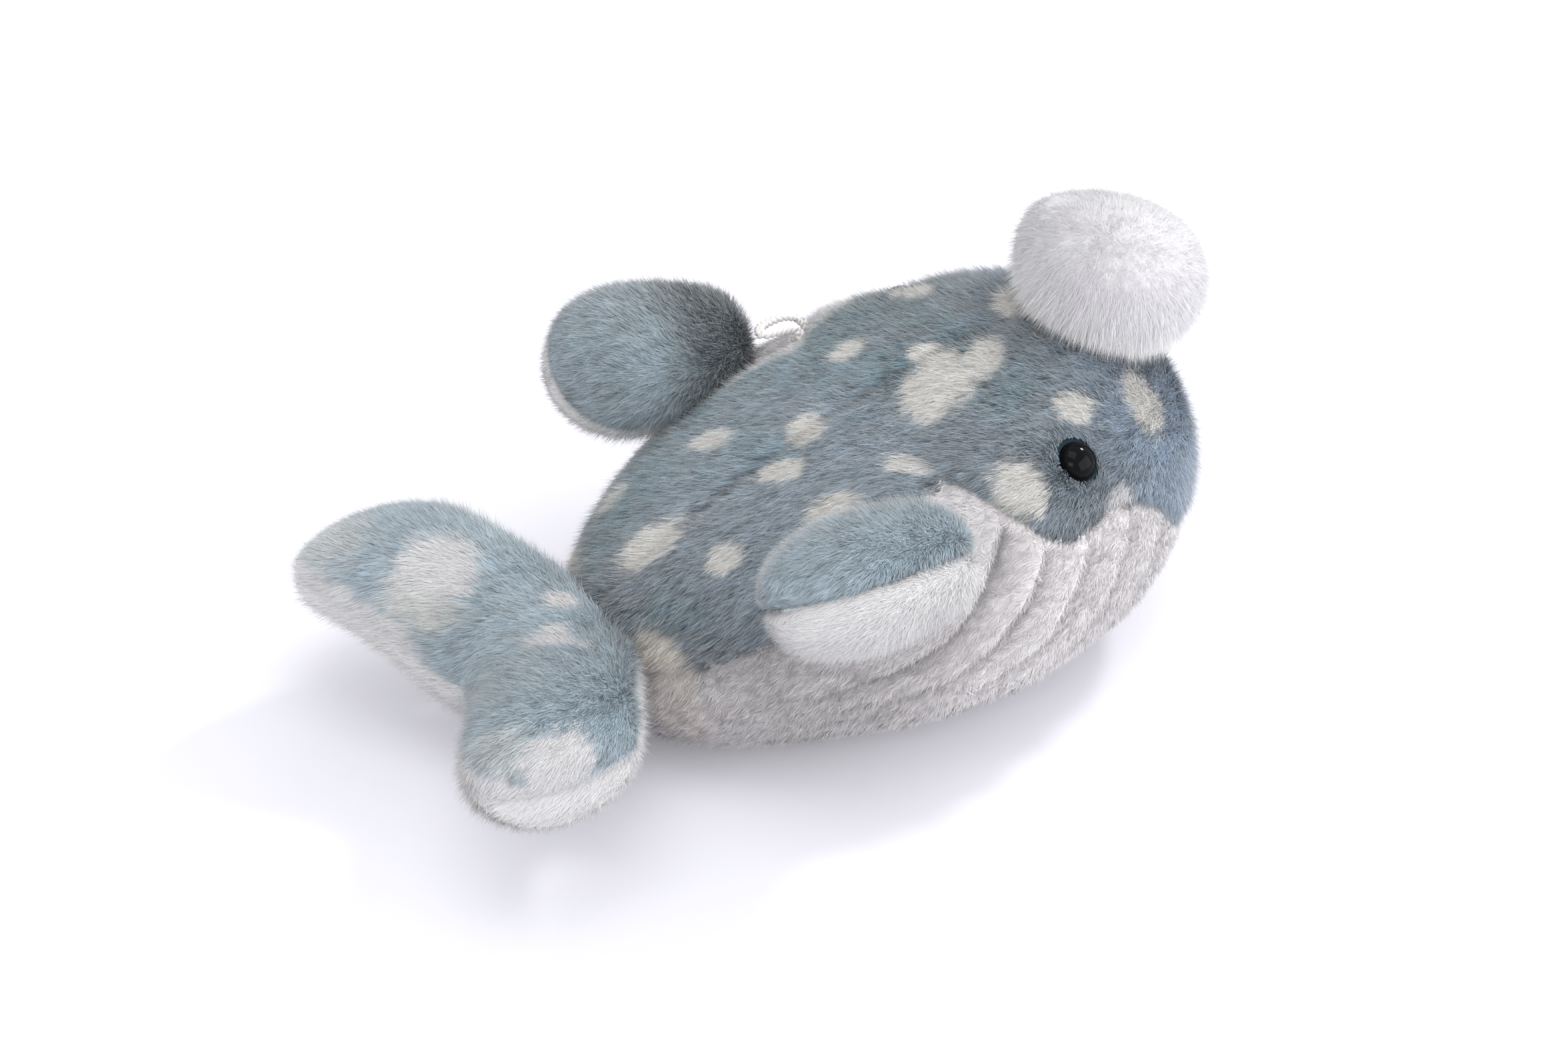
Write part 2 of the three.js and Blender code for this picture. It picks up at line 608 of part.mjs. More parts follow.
const flipperFinishes = { top: finishes.blueFur, underside: finishes.whiteFur, filling: finishes.filling };
for (const [piece, manifold] of Object.entries(flipperPieces())) {
  addPiece(`flipper_left_${piece}`, manifold, flipperFinishes[piece]);
  addPiece(`flipper_right_${piece}`, mirrored(manifold), flipperFinishes[piece]);
}

const tail = tailPieces();
addPiece('tail_top', tail.tail_top, finishes.blueFur);
addPiece('tail_underside', tail.tail_underside, finishes.whiteFur);
addPiece('tail_filling', tail.tail_filling, finishes.filling);

const pompom = pompomPieces();
addPiece('pompom_fur', pompom.pompom_fur, finishes.pompomFur);
addPiece('pompom_filling', pompom.pompom_filling, finishes.filling);
addPiece('pompom_tie', pompom.pompom_tie, finishes.thread);

// The origin is under the middle of the whole toy, on the surface that the belly lies on
const box = new THREE.Box3().setFromObject(whale);
whale.position.set(-(box.min.x + box.max.x) / 2, -(box.min.y + box.max.y) / 2, -box.min.z);

export default whale;
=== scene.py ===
import math

import bpy
import numpy as np
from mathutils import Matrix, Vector


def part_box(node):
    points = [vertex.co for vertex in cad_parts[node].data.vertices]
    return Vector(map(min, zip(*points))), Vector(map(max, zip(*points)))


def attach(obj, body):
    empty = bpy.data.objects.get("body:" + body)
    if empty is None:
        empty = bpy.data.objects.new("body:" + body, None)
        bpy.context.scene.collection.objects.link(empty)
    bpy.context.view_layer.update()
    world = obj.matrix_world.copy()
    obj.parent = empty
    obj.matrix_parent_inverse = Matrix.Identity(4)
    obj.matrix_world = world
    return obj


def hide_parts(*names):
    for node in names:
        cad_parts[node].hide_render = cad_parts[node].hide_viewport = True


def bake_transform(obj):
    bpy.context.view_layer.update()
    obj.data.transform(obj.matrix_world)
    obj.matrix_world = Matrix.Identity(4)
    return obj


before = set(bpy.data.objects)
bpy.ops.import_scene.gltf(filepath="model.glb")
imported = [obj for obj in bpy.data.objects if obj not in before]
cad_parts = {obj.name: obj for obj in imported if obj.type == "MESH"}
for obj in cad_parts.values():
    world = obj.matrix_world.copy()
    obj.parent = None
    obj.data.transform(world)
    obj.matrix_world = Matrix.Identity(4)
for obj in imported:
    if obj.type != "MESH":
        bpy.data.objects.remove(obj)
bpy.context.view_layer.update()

mm = 0.001
print("frame loaded:", len(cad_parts), "nodes")

# Places along the whale are counted from its nose, and heights from the floor before the belly settled into it.
# A table's rows are stations of a smooth curve.
whale = {
    "length": 183 * mm,
    "halfWidth": 70 * mm,
    "height": 97 * mm,
    "squareness": 0.92,
    "pressedFlat": 0.5 * mm,
    "noseY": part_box("back_panel_left")[0].y,
}

# place along, half width, top, underside, widest line
bodyShares = np.array([
    (0, 0, 0.557, 0.557, 0.557), (0.016, 0.43, 0.804, 0.37, 0.577), (0.074, 0.63, 0.918, 0.144, 0.515),
    (0.202, 0.83, 1, 0.02, 0.443), (0.393, 1, 0.96, 0, 0.423), (0.492, 1.005, 0.905, 0, 0.402),
    (0.607, 0.97, 0.835, 0, 0.381), (0.792, 0.757, 0.68, 0.01, 0.34), (0.913, 0.514, 0.557, 0.04, 0.3),
    (0.978, 0.257, 0.464, 0.144, 0.3), (1, 0, 0.31, 0.31, 0.31),
])

# the side seam: place along, height
seamShares = np.array([
    (0, 0.385), (0.08, 0.42), (0.14, 0.555), (0.2, 0.63), (0.26, 0.662), (0.32, 0.65), (0.38, 0.682),
    (0.43, 0.757), (0.485, 0.81), (0.57, 0.745), (0.68, 0.62), (0.79, 0.505), (0.9, 0.405), (1, 0.33),
])


def linear(red, green, blue):
    colour = np.array([red, green, blue], float) / 255
    return np.where(colour > 0.04045, ((colour + 0.055) / 1.055) ** 2.4, colour / 12.92)


def curveThrough(shares, place):
    # a smooth curve through each column of a table, read at places from 0 to 1
    last = len(shares) - 1
    at = np.clip(np.asarray(place, float), 0, 1) * last
    low = np.minimum(at.astype(int), last - 1)
    t = (at - low)[..., None]
    before, here = shares[np.maximum(low - 1, 0)], shares[low]
    there, after = shares[low + 1], shares[np.minimum(low + 2, last)]
    curve = (2 * here + (there - before) * t + (2 * before - 5 * here + 4 * there - after) * t ** 2
             + (3 * here - before - 3 * there + after) * t ** 3)
    return np.moveaxis(curve / 2, -1, 0)


def signedPower(value, power):
    return np.sign(value) * np.abs(value) ** power


def smooth(value, low, high):
    t = np.clip((value - low) / (high - low), 0, 1)
    return t * t * (3 - 2 * t)


def unit(vectors):
    return vectors / np.maximum(np.linalg.norm(vectors, axis=-1, keepdims=True), 1e-12)


def dots(a, b):
    return np.sum(a * b, axis=-1, keepdims=True)


# large odd numbers that turn a grid place into a value that looks random
scramble = {
    "axes": np.array([73856093, 19349663, 83492791]),
    "seed": 2654435761,
    "again": 1274126177,
    "most": 0x7fffffff,
}


def noiseAt(points, size, seed):
    # soft lumps of about the given size, from -1 to 1
    grid = points / size
    low = np.floor(grid).astype(np.int64)
    t = grid - low
    t = t * t * (3 - 2 * t)
    total = np.zeros(len(points))
    for corner in np.ndindex(2, 2, 2):
        cell = (low + np.array(corner)) * scramble["axes"]
        value = (cell[:, 0] ^ cell[:, 1] ^ cell[:, 2] ^ (seed * scramble["seed"])) & scramble["most"]
        value = ((value ^ (value >> 13)) * scramble["again"]) & scramble["most"]
        total += (value / (scramble["most"] // 2) - 1) * np.prod(np.where(corner, t, 1 - t), axis=1)
    return total


def noiseVectors(points, size, seed):
    return np.stack([noiseAt(points, size, seed + axis) for axis in range(3)], axis=-1)


def fromNose(x, y, z):
    # from the whale's own measures to the frame
    return np.stack([x, y + whale["noseY"], z - whale["pressedFlat"]], axis=-1)


def bodyPoint(place, angle):
    # the angle runs from the back seam, round by the left side
    along, width, top, bottom, widest = curveThrough(bodyShares, place)
    rise = signedPower(np.cos(angle), whale["squareness"])
    height = np.where(rise > 0, top - widest, widest - bottom)
    x = whale["halfWidth"] * width * signedPower(np.sin(angle), whale["squareness"])
    return fromNose(x, whale["length"] * along, whale["height"] * (widest + height * rise))


def normalOf(pointAt, place, angle):
    step = 0.002
    at = np.clip(place, 2 * step, 1 - 2 * step)
    along = pointAt(at + step, angle) - pointAt(at - step, angle)
    around = pointAt(at, angle + step) - pointAt(at, angle - step)
    normal = unit(np.cross(along, around))
    across = pointAt(at, angle) - pointAt(at, angle + math.pi)
    return normal * np.sign(dots(normal, across))


def depthInBody(points):
    # how far inside the body's outer surface points are, roughly
    y = (points[:, 1] - whale["noseY"]) / whale["length"]
    places = np.linspace(0, 1, 400)
    alongs = curveThrough(bodyShares, places)[0]
    place = np.interp(y, alongs, places)
    _, width, top, bottom, widest = curveThrough(bodyShares, place)
    z = (points[:, 2] + whale["pressedFlat"]) / whale["height"] - widest
    reach = np.where(z > 0, top - widest, widest - bottom) * whale["height"] + 1e-6
    side = whale["halfWidth"] * width + 1e-6
    power = 2 / whale["squareness"]
    out = (np.abs(points[:, 0] / side) ** power + np.abs(z * whale["height"] / reach) ** power) ** (1 / power)
    inside = (1 - out) * np.minimum(side, reach)
    return np.where((y > 0) & (y < 1), inside, -whale["halfWidth"])


def seamHeight(points):
    alongs, heights = curveThrough(seamShares, np.linspace(0, 1, 200))
    y = (points[:, 1] - whale["noseY"]) / whale["length"]
    return np.interp(y, alongs, heights) * whale["height"] - whale["pressedFlat"]


pleats = {
    "count": 5,
    "depth": 3.9 * mm,
    "start": 83 * mm,
    "pitch": 14 * mm,
    "run": 22 * mm,
    "aheadShare": 0.3,
    "angle": math.radians(90),
    "angleStep": math.radians(8.5),
    "turn": math.radians(38),
    "end": 122 * mm,
    "fade": 36 * mm,
    "lip": 0.86,  # where a fold's outer edge is, between one groove and the next
}


def pleatAngle(number, y):
    # where a fold line lies round the body: whole numbers are the grooves, 0 is the rearmost
    run = (y - pleats["start"] + pleats["pitch"] * number) / pleats["run"]
    ahead = 1 + pleats["aheadShare"] * (1 - np.exp(np.minimum(run, 0) / pleats["aheadShare"]))
    turned = pleats["turn"] * np.where(run > 0, np.exp(-np.maximum(run, 0)), ahead)
    return pleats["angle"] + pleats["angleStep"] * number - turned


def pleatDepth(number):
    fold = np.mod(number, 1)
    slope = np.where(fold < pleats["lip"], np.maximum(1 - fold / pleats["lip"], 0) ** 1.5,
                     (fold - pleats["lip"]) / (1 - pleats["lip"]))
    within = (number >= pleats["lip"] - 1) & (number <= pleats["count"] - 1 + pleats["lip"])
    return np.where(within, slope, 0)


def gridFaces(rings, sides):
    # quads of a closed tube of rings, with a pole at each end
    def at(ring, side):
        return 1 + ring * sides + side % sides
    side = np.arange(sides)
    quads = [np.stack([at(r, side), at(r + 1, side), at(r + 1, side + 1), at(r, side + 1)], axis=-1)
             for r in range(rings - 1)]
    last = 1 + rings * sides
    caps = [np.stack([0 * side, at(0, side), at(0, side + 1)], axis=-1),
            np.stack([at(rings - 1, side), 0 * side + last, at(rings - 1, side + 1)], axis=-1)]
    return np.concatenate(quads), np.concatenate(caps)


def surfaceFrom(points, rings, sides):
    quads, caps = gridFaces(rings, sides)
    triangles = np.concatenate([quads[:, :3], quads[:, [0, 2, 3]], caps])
    a, b, c = (points[triangles[:, k]] for k in range(3))
    if np.sum(dots(a, np.cross(b, c))) < 0:
        quads, caps, triangles = quads[:, ::-1], caps[:, ::-1], triangles[:, ::-1]
        a, c = c, a
    faceNormals = np.cross(b - a, c - a)
    normals = np.zeros_like(points)
    for k in range(3):
        for axis in range(3):
            normals[:, axis] += np.bincount(triangles[:, k], faceNormals[:, axis], len(points))
    return {"points": points, "normals": unit(normals), "sunk": np.zeros(len(points)),
            "quads": quads, "caps": caps, "triangles": triangles}


pile = {
    "depth": 1.6 * mm,  # of the cloth below the outer surface of the laid pile
    "bellyDepth": 0.9 * mm,
    "fleece": 0.25 * mm,
    "fleeceSize": 2.2 * mm,
    "floor": 0.6 * mm,  # the cloth stays this far above the floor, and hair tips a quarter of it
    "seamDip": 1.8 * mm,
    "seamWidth": 2.2 * mm,
    "parting": 1 * mm,
    "tipShorter": 0.4,
    "hairsPerArea": 8.5 / mm ** 2,
    "hairsPerPiece": 62000,
    "quickShare": 0.3,
    "mixedBorder": 1.8 * mm,  # how far the hairs of back and belly grow past each other
    "clothLap": 4 * mm,  # how deep a limb's cloth goes into the body
    "hairLap": 2 * mm,
    "clothShade": 0.5,  # painted shade on the cloth deep in the grooves
    "brightest": 0.94,
}


def fromSeams(points):
    # distance from the side seam, and from the back seam for points above the side seam
    slope = 1.4  # the side seam is read by height, and the body's side leans
    above = points[:, 2] - seamHeight(points)
    return np.abs(above) / slope, np.where(above > 0, np.abs(points[:, 0]), whale["length"])


def dipAtSeams(points, normals):
    side, middle = fromSeams(points)
    dip = np.exp(-(np.minimum(side, middle) / pile["seamWidth"]) ** 2)
    return points - normals * (pile["seamDip"] * dip)[:, None]


eyes = {
    "radius": 6 * mm,
    "dome": 4.6 * mm,
    "rim": 0.8 * mm,
    "rimSize": 1.1,  # as a share of the radius
    "domeSize": 0.96,
    "edge": 0.5 * mm,  # roundness of the rim
    "black": linear(5, 6, 9),
    "teal": linear(14, 40, 52),
    "seat": 4.3 * mm,
    "dimple": 1.8 * mm,
    "dimpleWidth": 4 * mm,
    "pileWidth": 5 * mm,  # of the ring of shorter pile
    "pileShorter": 0.4,
    "pileLift": 26,  # degrees
    "pileClear": 0.4 * mm,
    "pileLap": 1.2 * mm,
    "place": 0.345,
    "angle": math.radians(47.8),
}


def onLeft(points):
    # the same places on the whale's left side
    return np.stack([np.abs(points[:, 0]), points[:, 1], points[:, 2]], axis=-1)


def eyeCentre(side):
    place, angle = np.array([eyes["place"]]), np.array([side * eyes["angle"]])
    return bodyPoint(place, angle)[0], normalOf(bodyPoint, place, angle)[0]


def fromEyes(points):
    # distance from the rim of the nearer eye
    centre = eyeCentre(1)[0]
    return np.linalg.norm(onLeft(points) - centre, axis=1) - eyes["radius"] * eyes["rimSize"]


# lines of the body's mesh: round it, over half the back, under half the belly, and where they lie in each fold
bodyMesh = {
    "rings": 176,
    "back": 64,
    "belly": 26,
    "fold": [0, 0.05, 0.12, 0.22, 0.34, 0.46, 0.58, 0.68, 0.77, 0.83, 0.86, 0.89, 0.92, 0.95, 0.98],
    "firstLip": [0.03, 0.07, 0.11],
}


def bodySurface():
    rings = bodyMesh["rings"]
    firstLip, lastLip = pleats["lip"] - 1, pleats["count"] - 1 + pleats["lip"]
    place = np.arange(1, rings + 1) / (rings + 1)
    y = whale["length"] * curveThrough(bodyShares, place)[0]
    lines = [pleatAngle(firstLip, y) * step / bodyMesh["back"] for step in range(bodyMesh["back"] + 1)]
    depths = [0 * y] * len(lines)
    numbers = [k + at for k in range(pleats["count"]) for at in bodyMesh["fold"] if k + at < lastLip + 0.01]
    for number in [firstLip + at for at in bodyMesh["firstLip"]] + numbers:
        lines.append(pleatAngle(number, y))
        depths.append(0 * y + pleatDepth(np.array(number)))
    start = pleatAngle(pleats["count"], y)
    for step in range(1, bodyMesh["belly"] + 1):
        lines.append(start + (math.pi - start) * step / bodyMesh["belly"])
        depths.append(0 * y)
    angles = np.stack(lines + [-line for line in lines[-2:0:-1]], axis=-1)
    grooves = np.stack(depths + depths[-2:0:-1], axis=-1)
    sides = angles.shape[1]
    at = np.repeat(place, sides)
    points = bodyPoint(at, angles.ravel())
    normals = normalOf(bodyPoint, at, angles.ravel())
    along = 1 - smooth(points[:, 1] - whale["noseY"], pleats["end"], pleats["end"] + pleats["fade"])
    under = smooth(seamHeight(points) - points[:, 2], 0, 5 * mm)
    belly = smooth(seamHeight(points) - points[:, 2], -2 * mm, 3 * mm)
    grooved = grooves.ravel() * along * under
    depth = pile["depth"] + (pile["bellyDepth"] - pile["depth"]) * belly + pleats["depth"] * grooved
    depth += eyes["dimple"] * (1 - smooth(fromEyes(points), 0, eyes["dimpleWidth"]))
    depth += pile["fleece"] * under * (noiseAt(points, pile["fleeceSize"], 81) + 1)
    inner = dipAtSeams(points - normals * depth[:, None], normals)
    ends = [bodyPoint(np.array([end]), np.array([0.0])) for end in (0, 1)]
    inward = np.array([[0, pile["depth"], 0]])
    points = np.concatenate([ends[0] + inward, inner, ends[1] - inward])
    points[:, 2] = np.maximum(points[:, 2], pile["floor"])
    surface = surfaceFrom(points, rings, sides)
    surface["sunk"][1:-1] = grooved ** 1.6
    return surface


flipper = {
    "length": 62.5 * mm,
    "halfChord": 22 * mm,
    "halfThickness": 18.5 * mm,
    "place": 0.535,
    "angle": math.radians(51.5),
    "standOff": 3.5 * mm,
    "sweep": math.radians(85),
    "rise": math.radians(4.5),
    "lean": math.radians(35),
    "ruffle": 18,  # degrees
    "ruffleAt": 3 * mm,  # above the edge seam
    "shade": (0.22, 0.55),  # painted shade on the left one's top, over all of it and more at its root by the body
    "rings": 60,
    "sides": 72,
}
flipperShares = np.array([
    (0, 0, 0), (0.04, 0.48, 0.5), (0.15, 0.76, 0.83), (0.4, 0.96, 1), (0.65, 1, 1), (0.85, 0.8, 0.78),
    (0.96, 0.44, 0.5), (1, 0, 0),
])


def flipperFrame():
    place, angle = np.array([flipper["place"]]), np.array([flipper["angle"]])
    hinge = bodyPoint(place, angle)[0]
    out = normalOf(bodyPoint, place, angle)[0]
    rise, sweep, lean = flipper["rise"], flipper["sweep"], flipper["lean"]
    along = np.array([math.cos(sweep) * math.cos(rise), math.sin(sweep) * math.cos(rise), math.sin(rise)])
    face = np.array([-math.sin(lean), 0, math.cos(lean)])
    face = unit(face - along * (face @ along))
    return {"along": along, "face": face, "chord": np.cross(face, along), "hinge": hinge, "out": out,
            "root": hinge + out * flipper["standOff"]}


def flipperPoint(place, angle):
    f = flipperFrame()
    along, chord, thick = curveThrough(flipperShares, place)
    return (f["root"] + (flipper["length"] * along)[..., None] * f["along"]
            + (flipper["halfChord"] * chord * np.cos(angle))[..., None] * f["chord"]
            + (flipper["halfThickness"] * thick * np.sin(angle))[..., None] * f["face"])


tail = {
    "halfSpan": 64.5 * mm,
    "reach": 76 * mm,
    "halfThickness": 20 * mm,
    "lap": 15 * mm,
    "height": 30 * mm,
    "flukeRise": 14.5 * mm,
    "seamShare": 0.35,  # how deep its edge seam dips, as a share of the body's
    "edgeWhite": (1.5 * mm, 4 * mm),  # height over the seam up to which the fur is white, and from which it isn't
    "edgeBack": 2.5 * mm,  # and how much higher along the rear edges
    "splay": 0.9,  # how far its pile is combed outwards
    "rings": 120,
    "sides": 72,
}

# place across, front and back edges, rise of the seam, fullness above and below it
tailShares = np.array([
    (0, 0, 0.67, 0, 1, 1), (0.185, 0.04, 0.73, 0.1, 0.975, 1.1), (0.37, 0.12, 0.815, 0.52, 0.875, 1.05),
    (0.57, 0.217, 0.92, 0.9, 0.75, 0.95), (0.74, 0.283, 0.993, 1, 0.7, 0.9),
    (0.877, 0.336, 0.98, 0.93, 0.625, 0.85), (0.969, 0.434, 0.88, 0.79, 0.5, 0.625), (1, 0.645, 0.645, 0.72, 0, 0),
])


def tailPoint(place, angle):
    across = 2 * place - 1
    out, lead, trail, rise, above, below = curveThrough(tailShares, np.abs(across))
    lift = signedPower(np.sin(angle), whale["squareness"])
    front = whale["length"] - tail["lap"] + tail["reach"] * (lead + trail) / 2
    fullness = np.where(lift > 0, above, below)
    return fromNose(tail["halfSpan"] * np.sign(across) * out,
                    front + tail["reach"] * (trail - lead) / 2 * np.cos(angle),
                    tail["height"] + tail["flukeRise"] * rise + tail["halfThickness"] * fullness * lift)


def limbSurface(pointAt, rings, sides, dip):
    # dip gives how near each point is to the limb's edge seam, from 0 to 1
    place = np.repeat(np.arange(1, rings + 1) / (rings + 1), sides)
    angle = np.tile(2 * math.pi * np.arange(sides) / sides, rings)
    points = pointAt(place, angle)
    normals = normalOf(pointAt, place, angle)
    inner = points - normals * (pile["depth"] + pile["seamDip"] * dip(points))[:, None]
    ends = [pointAt(np.array([end]), np.array([0.0])) for end in (0, 1)]
    nextTo = [inner[:sides].mean(axis=0, keepdims=True), inner[-sides:].mean(axis=0, keepdims=True)]
    poles = [near + unit(end - near) * np.maximum(np.linalg.norm(end - near) - pile["depth"], 0.2 * mm)
             for end, near in zip(ends, nextTo)]
    return surfaceFrom(np.concatenate([poles[0], inner, poles[1]]), rings, sides)


def flipperSeam(points):
    # distance above the flipper's edge seam, on either side of the whale
    f = flipperFrame()
    return (onLeft(points) - f["root"]) @ f["face"]


def flipperReach(points):
    # share of the way from the flipper's root to its tip
    f = flipperFrame()
    return (onLeft(points) - f["root"]) @ f["along"] / flipper["length"]


def tailSeam(points):
    across = np.linspace(0, 1, 200)
    out, _, _, rise, _, _ = curveThrough(tailShares, across)
    height = np.interp(np.abs(points[:, 0]) / tail["halfSpan"], out, rise)
    return points[:, 2] + whale["pressedFlat"] - tail["height"] - tail["flukeRise"] * height


def shortAtTip(out):
    return 1 - pile["tipShorter"] * smooth(out, 0.7, 1)


def flipperPile(points):
    # the hairs shorten towards the tip, part along the edge seam and stand up just above it
    height = flipperSeam(points)
    ruffled = flipper["ruffle"] * np.exp(-((height - flipper["ruffleAt"]) / flipper["ruffleAt"]) ** 2)
    return shortAtTip(flipperReach(points)), partingAt(points, np.abs(height), 63), ruffled


# where the near fluke was sewn shut: x and the place from the nose, in mm
tailCrease = [(-54, 246), (-58, 242), (-62, 237), (-64.5, 231)]


def tailPile(points):
    out = np.abs(points[:, 0]) / tail["halfSpan"]
    sunk = 0.3 * partingAt(points, np.abs(tailSeam(points)), 64)
    flat, above = points[:, :2], tailSeam(points) > pile["parting"]
    crease = [np.array([x * mm, y * mm + whale["noseY"]]) for x, y in tailCrease]
    for a, b in zip(crease, crease[1:]):
        share = np.clip(((flat - a) @ (b - a)) / ((b - a) @ (b - a)), 0, 1)[:, None]
        near = np.linalg.norm(flat - a - share * (b - a), axis=1)
        sunk = np.maximum(sunk, above * np.exp(-(near / pile["parting"]) ** 2))
    return shortAtTip(out), sunk, 0


def mirrorOf(surface):
    flip = np.array([-1, 1, 1])
    return {"points": surface["points"] * flip, "normals": surface["normals"] * flip, "sunk": surface["sunk"],
            **{key: surface[key][:, ::-1] for key in ("quads", "caps", "triangles")}}


def meshObject(name, points, faces, smoothShade=True):
    # faces is a list of arrays, each with faces of one number of corners
    counts = np.concatenate([np.full(len(f), f.shape[1]) for f in faces])
    corners = np.concatenate([f.ravel() for f in faces])
    mesh = bpy.data.meshes.new(name)
    mesh.vertices.add(len(points))
    mesh.vertices.foreach_set("co", np.ascontiguousarray(points, np.float32).ravel())
    mesh.loops.add(len(corners))
    mesh.loops.foreach_set("vertex_index", corners.astype(np.int32))
    mesh.polygons.add(len(counts))
    starts = np.concatenate([[0], np.cumsum(counts)[:-1]])
    mesh.polygons.foreach_set("loop_start", starts.astype(np.int32))
    mesh.polygons.foreach_set("loop_total", counts.astype(np.int32))
    mesh.polygons.foreach_set("use_smooth", np.full(len(counts), smoothShade))
    mesh.update(calc_edges=True)
    mesh.validate()
    obj = bpy.data.objects.new(name, mesh)
    bpy.context.scene.collection.objects.link(obj)
    return obj


def paint(obj, name, colours):
    layer = obj.data.color_attributes.new(name, "FLOAT_COLOR", "POINT")
    rgba = np.ones((len(colours), 4), np.float32)
    rgba[:, :3] = colours
    layer.data.foreach_set("color", rgba.ravel())


def clothPiece(name, surface, keep, colourAt, material):
    # the part of a surface whose face middles pass keep, as a mesh of its own
    faces = [surface[key][keep(surface["points"][surface[key]].mean(axis=1))] for key in ("quads", "caps")]
    used = np.unique(np.concatenate([f.ravel() for f in faces]))
    renumber = np.zeros(len(surface["points"]), np.int64)
    renumber[used] = np.arange(len(used))
    points = surface["points"][used]
    obj = meshObject(name, points, [renumber[f] for f in faces if len(f)])
    # painted shade on the cloth deep in the grooves
    shade = 1 - pile["clothShade"] * surface["sunk"][used]
    paint(obj, "clothColour", np.minimum(colourAt(points) * shade[:, None], pile["brightest"]))
    obj.data.materials.append(material)
    return obj


# Each coat: how long its hairs are and how they lie (in degrees off the cloth), how ruffled it is in tufts,
# how much darker the roots are, how many hairs are silver, and how much light comes through the coat from above
coats = {
    "back": {
        "density": 1, "length": 4.5 * mm, "lean": 11, "spread": 8, "stray": 0.26, "wave": 0.3, "unruly": 0.2,
        "tuft": 2.4 * mm, "ruffle": 4, "lumps": 0.2, "tone": 0.32, "rootShade": 0.8, "silver": 0.26, "skyward": 0.1,
    },
    "belly": {
        "density": 0.6, "length": 2.7 * mm, "lean": 16, "spread": 12, "stray": 0.12, "wave": 0.3, "unruly": 0.9,
        "tuft": 1.5 * mm, "ruffle": 16, "lumps": 0.45, "tone": 0.22, "rootShade": 0.95, "silver": 0, "skyward": 0.12,
    },
    "limbTop": {
        "density": 0.9, "length": 4.4 * mm, "lean": 13, "spread": 10, "stray": 0.3, "wave": 0.4, "unruly": 0.3,
        "tuft": 2.6 * mm, "ruffle": 6, "lumps": 0.2, "tone": 0.24, "rootShade": 0.84, "silver": 0.16, "skyward": 0.1,
    },
    "limbUnder": {
        "density": 0.6, "length": 4.4 * mm, "lean": 12, "spread": 9, "stray": 0.4, "wave": 0.3, "unruly": 0.2,
        "tuft": 3 * mm, "ruffle": 4, "lumps": 0.16, "tone": 0.1, "rootShade": 0.97, "silver": 0, "skyward": 0.24,
    },
}
hair = {
    "radius": 0.14 * mm,
    "quickRadius": 0.26 * mm,
    "evenness": (0.75, 1.25),  # least and most of a radius
    "lengths": (0.75, 1.1),  # and of a length
    "mostSpread": 30,  # degrees
    "swirl": 17 * mm,
    "combSpread": 0.12,
    "lightSpread": 0.1,
    "roundness": (0.8, 0.2),  # how far a hair's own shape turns its light, at root and tip
    "streaks": [(1.8, 0.8 * mm), (1.2, 2 * mm)],  # how strong and how wide
    "streakWay": np.array([1, 0.28, 1]),  # they are longer along the whale
    "lump": 2.2 * mm,
    "sunkShorter": 0.45,
    "sunkPaintedShade": (0.6, 0.45),  # painted shade in grooves, partings and the tail crease, at root and tip
    "tones": (0.45, 1.7),
    "tipLight": 1.06,
    "strayLean": (24, 58),
    "strayLonger": 1.3,
    "strayRadius": 0.5,
    "silverMix": 0.5,
    "straySilver": 0.6,
    "silver": 0.82,  # brightness
    "brightest": 0.96,
}


def scatter(surface, count, random):
    # roots spread evenly by area, with the cloth's normal at each and how deep in a groove it is
    corners = surface["points"][surface["triangles"]]
    areas = np.linalg.norm(np.cross(corners[:, 1] - corners[:, 0], corners[:, 2] - corners[:, 0]), axis=1) / 2
    total = np.cumsum(areas)
    picked = np.searchsorted(total, (np.arange(count) + random.random(count)) / count * total[-1])
    picked = np.minimum(picked, len(areas) - 1)
    u, v = random.random((2, count))
    over = u + v > 1
    u, v = np.where(over, 1 - u, u), np.where(over, 1 - v, v)
    weights = np.stack([1 - u - v, u, v], axis=-1)
    around = surface["triangles"][picked]
    roots = np.sum(corners[picked] * weights[..., None], axis=1)
    normals = np.sum(surface["normals"][around] * weights[..., None], axis=1)
    return roots, unit(normals), np.sum(surface["sunk"][around] * weights, axis=1)


def areaOf(surface):
    corners = surface["points"][surface["triangles"]]
    return np.sum(np.linalg.norm(np.cross(corners[:, 1] - corners[:, 0], corners[:, 2] - corners[:, 0]), axis=1)) / 2


def hairMesh(name, roots, tips, radii, normals, rootColours, tipColours, material, random):
    # each hair is a thin three-sided spike, and takes the coat's normals, so that the coat is lit as one soft surface
    along = unit(tips - roots)
    first = unit(np.cross(along, normals + 0.01))
    second = np.cross(along, first)
    roll = random.uniform(0, 2 * math.pi, len(roots))
    ways = [np.cos(roll + turn)[:, None] * first + np.sin(roll + turn)[:, None] * second
            for turn in (0, 2 * math.pi / 3, 4 * math.pi / 3)]
    points = np.stack([roots + radii[:, None] * way for way in ways] + [tips], axis=1).reshape(-1, 3)
    base = (4 * np.arange(len(roots)))[:, None]
    faces = np.concatenate([base + np.array([[side, (side + 1) % 3, 3]]) for side in range(3)])
    obj = meshObject(name, points, [faces])
    atRoot, atTip = hair["roundness"]
    shading = [unit(normals + atRoot * way) for way in ways] + [unit(normals + atTip * along)]
    layer = obj.data.attributes.new("custom_normal", "FLOAT_VECTOR", "POINT")
    layer.data.foreach_set("vector", np.stack(shading, axis=1).astype(np.float32).ravel())
    paint(obj, "hairColour", np.stack([rootColours] * 3 + [tipColours], axis=1).reshape(-1, 3))
    obj.data.materials.append(material)
    return obj


